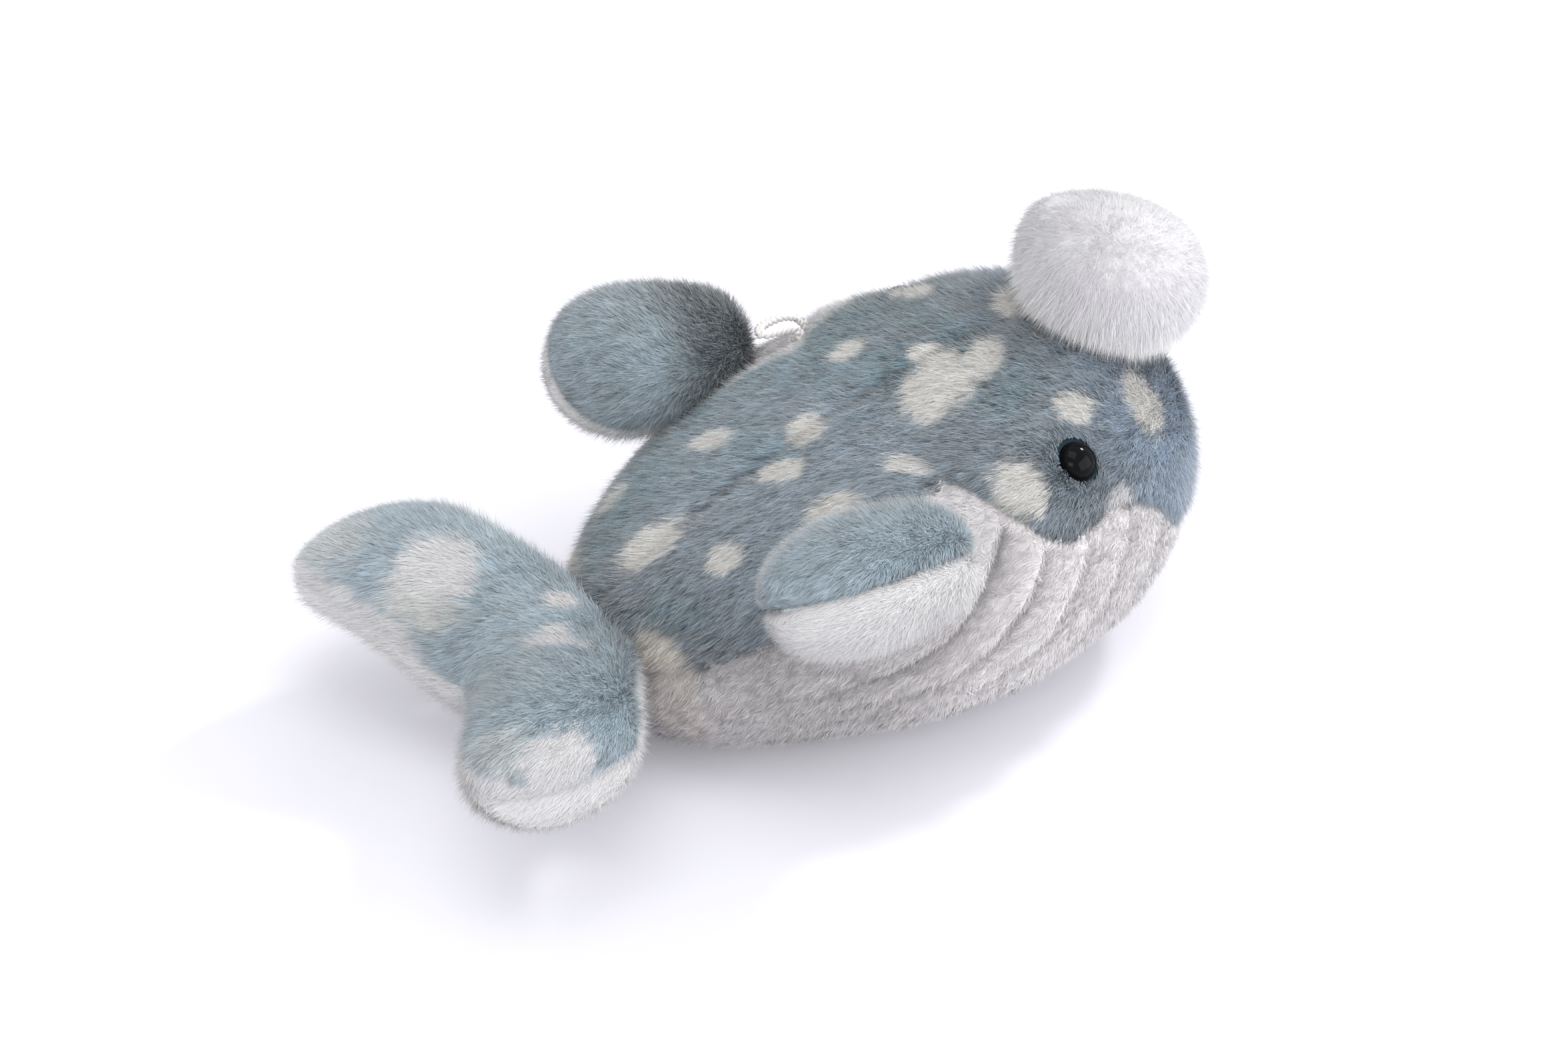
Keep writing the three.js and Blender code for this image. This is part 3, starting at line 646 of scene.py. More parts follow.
def inPieces(name, order, makePiece):
    # a long list of hairs goes into several meshes of even size
    pieces = math.ceil(len(order) / pile["hairsPerPiece"])
    names = [name] if pieces == 1 else [f"{name}_{number + 1}" for number in range(pieces)]
    return [makePiece(each, rows) for each, rows in zip(names, np.array_split(order, pieces))]


def growCoat(name, surface, coat, flowAt, keep, colourAt, layAt, material, seed):
    random = np.random.default_rng(seed)
    count = int(areaOf(surface) * pile["hairsPerArea"] * coat["density"] * (1))
    roots, normals, sunk = scatter(surface, count, random)
    kept = keep(roots)
    roots, normals, sunk = roots[kept], normals[kept], sunk[kept]
    count = len(roots)
    share, parted, lift = layAt(roots)
    sunk = np.maximum(sunk, parted)

    # how each hair lies
    flow = flowAt(roots)
    comb = unit(flow - normals * dots(flow, normals))
    tufts = noiseVectors(roots, coat["tuft"], seed + 23)
    swirl = noiseVectors(roots, hair["swirl"], seed + 11) * coat["wave"] + tufts * coat["unruly"]
    comb = unit(comb + swirl - normals * dots(swirl, normals) + random.normal(0, hair["combSpread"], (count, 3)))
    length = coat["length"] * share * random.uniform(*hair["lengths"], count) * (1 - hair["sunkShorter"] * sunk)
    spread = random.exponential(coat["spread"], count).clip(0, hair["mostSpread"])
    lean = coat["lean"] + lift + coat["ruffle"] * tufts[:, 0] + spread
    stray = random.random(count) < coat["stray"]
    lean = np.radians(np.where(stray, random.uniform(*hair["strayLean"], count), lean))
    length = np.where(stray, hair["strayLonger"], 1) * length
    tips = roots + length[:, None] * (np.cos(lean)[:, None] * comb + np.sin(lean)[:, None] * normals)
    tips[:, 2] = np.maximum(tips[:, 2], pile["floor"] / 4)

    # its colours
    middle = 0.4 * roots + 0.6 * tips
    base = colourAt(middle)
    streak = sum(strength * noiseAt(middle * hair["streakWay"], width, seed + 41 + number)
                 for number, (strength, width) in enumerate(hair["streaks"]))
    uneven = coat["tone"] * (1.25 - base.mean(axis=1))
    tone = np.clip(1 + uneven * (random.normal(0, 1, count) + streak + 0.4 * tufts[:, 1]), *hair["tones"])
    silver = np.where(random.random(count) < coat["silver"], hair["silverMix"], 0)
    silver = np.where(stray & (coat["silver"] > 0), hair["straySilver"], silver)[:, None]
    # painted shade: hairs deep in a groove, parting or crease are darker
    rootDarker, tipDarker = hair["sunkPaintedShade"]
    rootColours = base * (coat["rootShade"] * tone * (1 - rootDarker * sunk))[:, None]
    tipColours = base * (hair["tipLight"] * tone * (1 - tipDarker * sunk))[:, None]
    tipColours = tipColours + (hair["silver"] - tipColours) * silver
    rootColours, tipColours = (np.clip(colours, 0.001, hair["brightest"]) for colours in (rootColours, tipColours))

    shading = unit(normals + coat["skyward"] * np.array([0, 0, 1])
                   + coat["lumps"] * noiseVectors(roots, hair["lump"], seed + 57)
                   + random.normal(0, hair["lightSpread"], (count, 3)))
    radii = hair["radius"] * random.uniform(*hair["evenness"], count)
    radii = np.where(stray, hair["strayRadius"], 1) * radii

    def makePiece(each, rows):
        return hairMesh(each, roots[rows], tips[rows], radii[rows], shading[rows], rootColours[rows], tipColours[rows],
                        material, random)

    print(name, count, "hairs")
    return inPieces(name, np.argsort(roots[:, 1]), makePiece)


def setInputs(node, values):
    for name, value in values.items():
        node.inputs[name].default_value = value


def newMaterial(name):
    material = bpy.data.materials.new(name)
    material.use_nodes = True
    nodes, links = material.node_tree.nodes, material.node_tree.links
    return material, nodes, links, nodes["Principled BSDF"]


def paintedColour(nodes, attribute):
    source = nodes.new("ShaderNodeAttribute")
    source.attribute_name = attribute
    return source.outputs["Color"]


def hairMaterial(name, sheen, roughness):
    material, nodes, links, shader = newMaterial(name)
    streak = nodes.new("ShaderNodeTexNoise")
    setInputs(streak, {"Scale": 900, "Detail": 1})
    level = nodes.new("ShaderNodeMapRange")
    setInputs(level, {"To Min": 0.88, "To Max": 1.12})
    tint = nodes.new("ShaderNodeVectorMath")
    tint.operation = "SCALE"
    where = nodes.new("ShaderNodeTexCoord")
    links.new(where.outputs["Object"], streak.inputs["Vector"])
    links.new(streak.outputs["Fac"], level.inputs["Value"])
    links.new(paintedColour(nodes, "hairColour"), tint.inputs[0])
    links.new(level.outputs["Result"], tint.inputs["Scale"])
    links.new(tint.outputs["Vector"], shader.inputs["Base Color"])
    setInputs(shader, {"Roughness": roughness, "Specular IOR Level": 0.25, "Sheen Weight": sheen,
                       "Sheen Roughness": 0.4})
    return material


def clothMaterial(name):
    material, nodes, links, shader = newMaterial(name)
    weave = nodes.new("ShaderNodeTexNoise")
    setInputs(weave, {"Scale": 1400})
    bump = nodes.new("ShaderNodeBump")
    setInputs(bump, {"Strength": 0.4, "Distance": 0.3 * mm})
    links.new(weave.outputs["Fac"], bump.inputs["Height"])
    links.new(bump.outputs["Normal"], shader.inputs["Normal"])
    links.new(paintedColour(nodes, "clothColour"), shader.inputs["Base Color"])
    setInputs(shader, {"Roughness": 0.95})
    return material


def plainMaterial(name, colour, roughness, grain, specular=0.5, dent=0.0):
    # one colour, a little uneven at the size of its grain, in how it shines too
    material, nodes, links, shader = newMaterial(name)
    where = nodes.new("ShaderNodeTexCoord")
    speck = nodes.new("ShaderNodeTexNoise")
    setInputs(speck, {"Scale": 1 / grain, "Detail": 3})
    shade = nodes.new("ShaderNodeMix")
    shade.data_type = "RGBA"
    shade.inputs["A"].default_value = (*(colour * 0.8), 1)
    shade.inputs["B"].default_value = (*np.minimum(colour * 1.2, 0.95), 1)
    polish = nodes.new("ShaderNodeMapRange")
    setInputs(polish, {"To Min": roughness * 0.85, "To Max": min(roughness * 1.15, 1)})
    links.new(where.outputs["Object"], speck.inputs["Vector"])
    links.new(speck.outputs["Fac"], shade.inputs["Factor"])
    links.new(speck.outputs["Fac"], polish.inputs["Value"])
    links.new(shade.outputs["Result"], shader.inputs["Base Color"])
    links.new(polish.outputs["Result"], shader.inputs["Roughness"])
    if dent:
        bump = nodes.new("ShaderNodeBump")
        setInputs(bump, {"Strength": dent, "Distance": grain / 2})
        links.new(speck.outputs["Fac"], bump.inputs["Height"])
        links.new(bump.outputs["Normal"], shader.inputs["Normal"])
    setInputs(shader, {"Specular IOR Level": specular})
    return material


# Colours as they look in plain light
furColours = {
    "blue": linear(154, 170, 184),
    "teal": linear(117, 151, 165),
    "head": linear(159, 180, 204),
    "limb": linear(176, 195, 207),
    "white": linear(240, 236, 238),
    "bright": linear(250, 249, 252),
    "pompom": linear(251, 249, 254),
    "spot": linear(251, 248, 242),
    "beige": linear(226, 216, 204),
}

# Pale markings: middle (x, from the nose, height), half length, half width, strength, and the long way
markings = [
    (0.7, 73.4, 92.8, 5.5, 4.5, 1, (-0.7, -0.7, 0)), (-12.9, 78.3, 91.2, 12, 9.5, 1, (0.54, -0.8, 0.26)),
    (-11.5, 62.7, 94.2, 9, 5.5, 1, (0.58, -0.8, 0.18)), (19.4, 87.9, 87.1, 5.5, 4.2, 1, (0, 1, -0.3)),
    (33.3, 58.2, 89.4, 7, 5.5, 0.9, (0.8, 0.5, -0.3)), (5.9, 42.1, 96.9, 8, 5.5, 1, (-0.8, 0.6, 0)),
    (0.5, 112, 80.6, 6.2, 5.5, 1, (0, 1, -0.4)), (-7.4, 124.1, 75.3, 7.2, 3.8, 1, (0.55, 0.77, -0.3)),
    (-6.5, 71, 93, 5, 4.2, 0.8, (0.54, -0.8, 0)), (-29.6, 98.1, 82, 7, 3.2, 0.85, (0.76, 0.65, 0)),
    (-29.5, 121.5, 76, 9.8, 6, 1, (0.41, 0.87, -0.27)),
    (-50.9, 74.6, 78.8, 9, 7.4, 1, (0.8, 0.1, 0.6)), (-36.7, 48.2, 88, 6, 5, 1, (0.41, 0.87, 0.27)),
    (-37.3, 24.5, 81.3, 9.8, 6.6, 1, (0.71, 0.1, 0.7)),
    (21.1, 130.3, 70.9, 7.6, 3.8, 0.95, (0.63, 0.65, -0.43)),
    (31.7, 156.5, 52.9, 6, 5, 0.7, (0, 0.7, -0.7)), (1.7, 160, 58.1, 11.2, 6, 1, (0.1, 0.87, -0.49)),
    (-19.5, 148.6, 62.3, 5.4, 5, 0.95, (0, 0.9, -0.4)),
    (51, 72, 78.8, 8, 6, 1, (0.8, 0.1, 0.6)), (37, 24, 81, 8, 5.5, 1, (0.7, -0.1, -0.7)),
    (52, 98, 70, 6, 4.5, 1, (0, 1, -0.3)), (47, 132, 58, 8, 4.5, 1, (0, 0.9, -0.4)),
]
mouthMarkings = [(-57.5, 44.5, 63, 8, 5.5, 1, (0.46, -0.26, 0.85)), (57.5, 44.5, 63, 7.5, 5, 1, (0.46, 0.26, 0.85)),
                 (47.5, 92, 80, 16, 6.5, 1, (0, 1, -0.3)), (45, 109, 75.5, 13, 6, 1, (0, 1, -0.4))]
flankMarkings = [(-28, 171, 31, 18, 9.5, 1, (0.5, 0.2, 0.84)), (28, 171, 31, 17, 9, 1, (0.5, -0.2, -0.84))]
tailMarkings = [
    (26.6, 213.1, 55, 11.5, 10, 1, (-0.3, -0.95, 0)), (2, 187.5, 49.6, 5, 4.2, 1, (0.3, 0.95, 0)),
    (-11, 196.5, 51, 4.2, 3.6, 1, (0.74, 0.64, 0)), (-17, 199.5, 52.3, 9.5, 3.8, 1, (0.74, 0.64, 0)),
    (-62, 221.2, 49.8, 10, 9, 1, (0, 1, 0)),
]
# Soft pale patches on the flukes' tops, painted light where the light falls on them
tailPaintedLight = [
    (20.8, 221.5, 48.3, 11, 8, 0.7, (0.5, 0.84, 0)), (-54.3, 234.6, 54, 9, 8, 0.4, (0.6, 0.8, 0)),
    (52, 234, 52, 13, 10, 0.45, (0, 1, 0)),
]


# how ragged a marking's edge is: in lobes, and from hair to hair
raggedEdge = {"lobes": 0.14, "lobeSize": 4 * mm, "hairs": 0.3, "hairSize": 1 * mm, "soft": 0.24}


def markingAt(points, table, soft=raggedEdge["soft"]):
    strength = np.zeros(len(points))
    laid = points * np.array([1, 0.4, 1])
    edge = (raggedEdge["lobes"] * noiseAt(points, raggedEdge["lobeSize"], 5)
            + raggedEdge["hairs"] * noiseAt(laid, raggedEdge["hairSize"], 6))
    for x, y, z, length, width, weight, way in table:
        away = points - fromNose(np.array(x * mm), np.array(y * mm), np.array(z * mm))
        near = np.linalg.norm(away, axis=1) < 2.5 * length * mm
        onWay = away[near] @ unit(np.array(way, float))
        across = np.sqrt(np.maximum(np.sum(away[near] ** 2, axis=1) - onWay ** 2, 0))
        outward = np.hypot(onWay / (length * mm), across / (width * mm))
        strength[near] = np.maximum(strength[near], weight * smooth(1 - outward + edge[near], -soft, soft))
    return strength


def mixed(a, b, share):
    return a + (b - a) * share[:, None]


def evenColour(name):
    return lambda points: np.tile(furColours[name], (len(points), 1))


# How much darker the fur is painted in places, as painted shade: on the back low on the flanks, low at the rear, behind
# the head and under the pompom (a painted shadow), and on the belly low at the rear; backPatch and limbPatch are the
# fur's own uneven tone
paintedShadeAndPatches = {"flank": 0.13, "rear": 0.48, "nape": 0.26, "pompom": 0.3, "belly": 0.34, "backPatch": 0.07, "limbPatch": 0.1}


def backColour(points):
    y = points[:, 1] - whale["noseY"]
    patch = noiseAt(points, 26 * mm, 41) + 0.5 * noiseAt(points, 9 * mm, 42)
    base = mixed(evenColour("blue")(points), furColours["teal"], smooth(patch + points[:, 0] / (40 * mm), -0.7, 0.9))
    base = mixed(base, furColours["head"], 1 - smooth(y, 20 * mm, 55 * mm))
    low = 1 - smooth(points[:, 2], 32 * mm, 70 * mm)
    # painted shade: darker low on the flanks, lower still at the rear, and behind the head, where less light falls
    shaded = paintedShadeAndPatches["flank"] * low * smooth(y, 40 * mm, 90 * mm) + paintedShadeAndPatches["rear"] * low * smooth(y, 110 * mm, 160 * mm)
    shaded += paintedShadeAndPatches["nape"] * smooth(y, 28 * mm, 46 * mm) * (1 - smooth(y, 75 * mm, 100 * mm))
    # painted shadow on the head round the foot of the pompom
    seat = bodyPoint(np.array([pompom["place"]]), np.array([pompom["angle"]]))
    shaded += paintedShadeAndPatches["pompom"] * (1 - smooth(np.linalg.norm(points - seat, axis=1), 20 * mm, 36 * mm))
    base = base * (1 - shaded + paintedShadeAndPatches["backPatch"] * patch)[:, None]
    base = mixed(base, furColours["beige"], markingAt(points, flankMarkings, 0.25))
    base = mixed(base, furColours["bright"], markingAt(points, mouthMarkings))
    return mixed(base, furColours["spot"], markingAt(points, markings))


def bellyColour(points):
    # painted shade: the belly is darker low at the rear, which faces away from the light; the noise is its own uneven
    # tone
    rear = smooth(points[:, 1] - whale["noseY"], 80 * mm, 140 * mm) * (1 - smooth(points[:, 2], 45 * mm, 65 * mm))
    base = evenColour("white")(points) * (1 - paintedShadeAndPatches["belly"] * rear + 0.03 * noiseAt(points, 12 * mm, 43))[:, None]
    return mixed(base, furColours["beige"], 0.4 * markingAt(points, flankMarkings, 0.25))


def limbTopColour(points):
    return evenColour("limb")(points) * (1 + paintedShadeAndPatches["limbPatch"] * noiseAt(points, 16 * mm, 51))[:, None]


def flipperTopColour(points):
    whole, atRoot = flipper["shade"]
    # painted shade on the left flipper's top, strongest near the body
    shade = whole + atRoot * (1 - smooth(flipperReach(points), 0.3, 0.62))
    return limbTopColour(points) * (1 - shade * (points[:, 0] > 0))[:, None]


def tailTopColour(points):
    # painted light: soft pale patches on the flukes' tops
    base = mixed(limbTopColour(points), furColours["spot"], markingAt(points, tailPaintedLight, 0.5))
    # the underside's white comes round the edges of the flukes
    out, lead, trail = curveThrough(tailShares[:, :3], np.linspace(0, 1, 200))
    across = np.abs(points[:, 0]) / tail["halfSpan"]
    start = whale["noseY"] + whale["length"] - tail["lap"]
    middle = start + tail["reach"] * np.interp(across, out, (lead + trail) / 2)
    back = smooth(points[:, 1] - middle, 0, 6 * mm)
    height = tailSeam(points) + 1.5 * mm * noiseAt(points, 3 * mm, 52) - tail["edgeBack"] * back
    edge = (1 - smooth(height, *tail["edgeWhite"])) * smooth(across, 0.15, 0.35)
    base = mixed(base, furColours["bright"], edge)
    return mixed(base, furColours["bright"], markingAt(points, tailMarkings, 0.28))


def constantFlow(direction):
    return lambda points: np.tile(np.array(direction, float), (len(points), 1))


def partingAt(points, distance, seed):
    # how far a point is into the thin parting along a seam, which closes here and there
    openness = smooth(noiseAt(points, 14 * mm, seed), -0.5, 0.3)
    return np.exp(-(distance / pile["parting"]) ** 2) * (0.45 + 0.55 * openness)


backFurrows = [(89 * mm, 9 * mm), (138 * mm, 9 * mm)]  # where the back seam stands open: middle, half length
furrowWidth = 1.9 * mm


def bodyPile(points):
    # the share of its full length that a hair has, and how deep it is in a parting
    side, middle = fromSeams(points)
    sunk = np.maximum(partingAt(points, side, 61), partingAt(points, middle, 62))
    for at, reach in backFurrows:
        along = (points[:, 1] - whale["noseY"] - at) / reach
        sunk = np.maximum(sunk, np.exp(-(middle / furrowWidth) ** 2 - along ** 4))
    share, lift = nearEyes(points)
    return share, sunk, lift


def clearOfEyes(points):
    # the pile laps over the rim at its lower rear edge
    centre = eyeCentre(1)[0]
    lapped = smooth(centre[2] - points[:, 2] + points[:, 1] - centre[1], 2 * mm, 8 * mm)
    return fromEyes(points) > eyes["pileClear"] - eyes["pileLap"] * lapped


def nearEyes(points):
    # the pile is short round the eyes, and stands up over their upper and rear edges
    near = 1 - smooth(fromEyes(points), 0, eyes["pileWidth"])
    centre = eyeCentre(1)[0]
    over = np.maximum(smooth(points[:, 2] - centre[2], 1 * mm, 5 * mm), smooth(points[:, 1] - centre[1], 0, 4 * mm))
    return 1 - eyes["pileShorter"] * near * (1 - over), eyes["pileLift"] * near * over


hairFur = hairMaterial("fur", 0.8, 0.75)
clothBacking = clothMaterial("plush backing")


def isBack(points, ragged=0.0):
    return points[:, 2] + ragged * noiseAt(points, 3 * mm, 71) > seamHeight(points)


# how the body's pile is combed: off the back seam, down the flanks and away from the eyes
combing = {
    "offSeam": 0.22,
    "seamReach": 7 * mm,
    "outward": 0.25,
    "down": (0.1, 0.45),  # everywhere, and more on the flanks
    "offEyes": 1.3,
    "eyeReach": 7 * mm,
}


def backFlow(points):
    down = np.clip((80 * mm - points[:, 2]) / (50 * mm), 0, 1)
    offSeam = combing["offSeam"] * np.exp(-np.abs(points[:, 0]) / combing["seamReach"])
    sideways = np.sign(points[:, 0]) * (offSeam + combing["outward"] * down)
    everywhere, onFlanks = combing["down"]
    flow = np.stack([sideways, np.ones(len(points)), -onFlanks * down - everywhere], axis=-1)
    centre = eyeCentre(1)[0]
    away = points - np.stack([np.sign(points[:, 0]) * centre[0], 0 * down + centre[1], 0 * down + centre[2]], axis=-1)
    near = 1 - smooth(fromEyes(points), 0, combing["eyeReach"])
    return flow + combing["offEyes"] * unit(away) * near[:, None]


def makeBody():
    surface = bodySurface()
    panels = {
        "back_panel_left": (lambda p, r=0: isBack(p, r) & (p[:, 0] > 0), backColour, "back", "blue_fur"),
        "back_panel_right": (lambda p, r=0: isBack(p, r) & (p[:, 0] <= 0), backColour, "back", "blue_fur"),
        "belly_panel": (lambda p, r=0: ~isBack(p, r), bellyColour, "belly", "white_fur"),
    }
    seed = 100
    for node, (keep, colourAt, coat, slot) in panels.items():
        cloth = clothPiece(node + "_cloth", surface, keep, colourAt, clothBacking)
        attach(cloth, "body")
        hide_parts(node)
        seed += 10
        for piece in growCoat(node + "_pile", surface, coats[coat], backFlow,
                              lambda p, k=keep: k(p, pile["mixedBorder"]) & clearOfEyes(p), colourAt, bodyPile,
                              hairFur, seed):
            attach(piece, "body")
    print("body done")


def limbPart(node, surface, seamAt, above, colourAt, coat, flowAt, layAt, seed):
    # the cloth and the pile of a limb's top or underside, down to where it goes into the body
    def keep(points, lap=pile["clothLap"]):
        return ((seamAt(points) > 0) == above) & (depthInBody(points) < lap)

    cloth = clothPiece(node + "_cloth", surface, keep, colourAt, clothBacking)
    return cloth, growCoat(node + "_pile", surface, coats[coat], flowAt, lambda p: keep(p, pile["hairLap"]), colourAt,
                           layAt, hairFur, seed)


def makeFlippers():
    f = flipperFrame()
    left = limbSurface(flipperPoint, flipper["rings"], flipper["sides"],
                       lambda p: np.exp(-(flipperSeam(p) / pile["seamWidth"]) ** 2))
    for side, sign, surface in (("left", 1, left), ("right", -1, mirrorOf(left))):
        flip = np.array([sign, 1, 1])
        for part, above, colourAt, coat, slot in (("top", True, flipperTopColour, "limbTop", "blue_fur"),
                                                  ("underside", False, evenColour("bright"), "limbUnder", "white_fur")):
            node = f"flipper_{side}_{part}"
            seed = 300 + 10 * above + (5 if sign > 0 else 0)
            cloth, pieces = limbPart(node, surface, flipperSeam, above, colourAt, coat,
                                     constantFlow(f["along"] * flip), flipperPile, seed)
            for piece in [cloth, *pieces]:
                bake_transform(piece)
            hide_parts(node)
    print("flippers done")


def tailFlow(points):
    return np.stack([points[:, 0] / tail["halfSpan"] * tail["splay"], np.ones(len(points)), 0 * points[:, 0]], axis=-1)


def makeTail():
    surface = limbSurface(tailPoint, tail["rings"], tail["sides"],
                          lambda p: tail["seamShare"] * np.exp(-(tailSeam(p) / pile["seamWidth"]) ** 2))
    for part, above, colourAt, coat, slot in (("top", True, tailTopColour, "limbTop", "blue_fur"),
                                              ("underside", False, evenColour("bright"), "limbUnder", "white_fur")):
        node = f"tail_{part}"
        cloth, pieces = limbPart(node, surface, tailSeam, above, colourAt, coat, tailFlow, tailPile, 400 + above)
        for piece in [cloth, *pieces]:
            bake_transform(piece)
        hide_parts(node)
    print("tail done")


pompom = {
    "radius": 27 * mm,
    "height": 38.5 * mm,
    "place": 0.227,
    "angle": math.radians(-4.5),
    "sink": 7.5 * mm,
    "lean": math.radians(6.7),
    "tilt": math.radians(7.8),
    "middle": 13.5 * mm,
    "heart": 0.91,  # size of the matted ball inside, as a share of the whole
    "corner": (0.71, 0.41, 0.57),
    "hairs": 90000,
    "hairRadius": 0.08 * mm,
    "quickRadius": 1.8,  # as a share of that
    "tuft": 2.6 * mm,
    "lock": 9 * mm,
    "droop": 0.1,
    "matted": (0.97, 0.23),  # brightness of the matted ball, and how much less of it on top, as painted shade against the light from above
}
pompomShares = np.array([
    (0, 0), (0.35, 0.02), (0.72, 0.2), (0.95, 0.42), (1, 0.62), (0.9, 0.84), (0.55, 0.97), (0, 1),
])


def makePompom():
    random = np.random.default_rng(7)
    seat = bodyPoint(np.array([pompom["place"]]), np.array([pompom["angle"]]))[0]
    up = unit(np.array([-math.sin(pompom["lean"]), -math.sin(pompom["tilt"]), math.cos(pompom["lean"])]))
    right = unit(np.cross(up, np.array([0, 1, 0])))
    ahead = np.cross(right, up)
    places = np.linspace(0, 1, 160)
    out, lift = curveThrough(pompomShares, places)
    radial = out * pompom["radius"]
    high = lift * pompom["height"] - pompom["sink"] - pompom["middle"]
    order = np.argsort(np.arctan2(high, radial))

    def inFrame(local):
        return local[:, :1] * right + local[:, 1:2] * ahead + local[:, 2:] * up

    def reachAlong(direction):
        # how far it is from the middle to the outline, which is squarer at the back on the left
        angle = np.arctan2(direction[:, 2], np.hypot(direction[:, 0], direction[:, 1]))
        reach = np.interp(angle, np.arctan2(high, radial)[order], np.hypot(radial, high)[order])
        corner = np.arccos(np.clip(inFrame(direction) @ unit(np.array(pompom["corner"])), -1, 1))
        return reach * (1.02 + 0.09 * np.exp(-(corner / 0.4) ** 2))

    middle = seat + up * pompom["middle"]
    count = int(pompom["hairs"] * (1))
    z = random.uniform(-0.85, 1, count)
    turn = random.uniform(0, 2 * math.pi, count)
    flat = np.sqrt(1 - z ** 2)
    direction = np.stack([flat * np.cos(turn), flat * np.sin(turn), z], axis=-1)
    onBall = direction * 30 * mm
    reach = reachAlong(direction) * (1 + 0.015 * noiseAt(onBall, pompom["lock"], 3))
    low = smooth(-z, -0.5, 0.5)
    loose = np.where(random.random(count) < 0.15 + 0.2 * low, random.uniform(0.02, 0.09 + 0.07 * low, count), 0)
    ragged = random.exponential(0.02 + 0.03 * low, count).clip(0, 0.06 + 0.06 * low)
    length = reach * (0.98 + 0.07 * low - ragged + loose)
    combed = (0.02 * noiseVectors(onBall, pompom["lock"], 15) + 0.04 * noiseVectors(onBall, pompom["tuft"], 16)
              + random.normal(0, 0.035, (count, 3)))
    combed[:, 2] -= pompom["droop"] * (1 + low) * flat
    roots = middle + inFrame(direction * (reach * pompom["heart"] * 0.99)[:, None])
    tips = middle + inFrame(unit(direction + combed) * length[:, None])
    outwards = inFrame(direction)
    # light comes through the fur from above, so that its lower side isn't dark
    shading = unit(outwards + 0.5 * low[:, None] * up + 0.08 * noiseVectors(onBall, pompom["tuft"], 17)
                   + random.normal(0, 0.12, (count, 3)))
    strand = noiseAt(np.stack([turn * 12 * mm, 0 * turn, z * 4 * mm], axis=-1), 0.7 * mm, 18)
    # painted light: hairs on the lower side are lighter and those on top darker, to even out the light from above; the
    # strand and random parts are the hairs' own tone
    paintedLightAndStrands = ((0.91 + 0.1 * low) * (1 + 0.05 * strand + random.normal(0, 0.05, count)))[:, None]
    rootColours = np.clip(furColours["pompom"] * paintedLightAndStrands, 0, 0.95)
    tipColours = np.clip(furColours["pompom"] * 1.04 * paintedLightAndStrands, 0, 0.95)
    radii = pompom["hairRadius"] * 1 * random.uniform(0.7, 1.3, count)

    def makePiece(name, rows):
        return hairMesh(name, roots[rows], tips[rows], radii[rows], shading[rows], rootColours[rows], tipColours[rows],
                        pompomFur, random)

    pieces = inPieces("pompom_hair", np.argsort(roots[:, 1]), makePiece)
    # a ball of matted fur inside, so that nothing shows through
    rings, around = 60, 90
    polar = math.pi * np.repeat(np.arange(1, rings + 1) / (rings + 1), around)
    angle = np.tile(2 * math.pi * np.arange(around) / around, rings)
    ball = np.stack([np.sin(polar) * np.cos(angle), np.sin(polar) * np.sin(angle), -np.cos(polar)], axis=-1)
    ball = np.concatenate([[[0, 0, -1]], ball, [[0, 0, 1]]])
    radius = pompom["heart"] * reachAlong(ball) * (1 + 0.012 * noiseAt(ball * 30 * mm, 4 * mm, 4))
    heart = surfaceFrom(middle + inFrame(ball * radius[:, None]), rings, around)

    def mattedColour(points):
        bright, less = pompom["matted"]
        # painted shade: the matted ball is darker on top, where the light from above falls most
        onTop = smooth((points - middle) @ up, -4 * mm, 14 * mm)
        return evenColour("pompom")(points) * (bright - less * onTop)[:, None]

    matted = clothPiece("pompom_heart", heart, lambda p: np.ones(len(p), bool), mattedColour, clothBacking)
    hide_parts("pompom_fur")
    for piece in [matted, *pieces]:
        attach(piece, "pompom")
    print("pompom done")


pompomFur = hairMaterial("pompom fur", 0.5, 0.6)


def acrossOf(way, hint):
    # two directions square to a way and to each other
    first = unit(np.cross(way, np.array(hint)))
    return first, np.cross(way, first)


def latheObject(name, profile, sides, centre, axis, material):
    # profile is radius and height from the axis's foot to its top, both on the axis
    profile = np.array(profile)
    inner = profile[1:-1]
    turn = 2 * math.pi * np.arange(sides) / sides
    axis = unit(np.array(axis, float))
    first, second = acrossOf(axis, (0.3, 0.2, 1))
    rings = [centre + axis * height + radius * (np.cos(turn)[:, None] * first + np.sin(turn)[:, None] * second)
             for radius, height in inner]
    points = np.concatenate([[centre + axis * profile[0][1]], *rings, [centre + axis * profile[-1][1]]])
    quads, caps = gridFaces(len(inner), sides)
    obj = meshObject(name, points, [quads[:, ::-1], caps[:, ::-1]])
    obj.data.materials.append(material)
    return obj


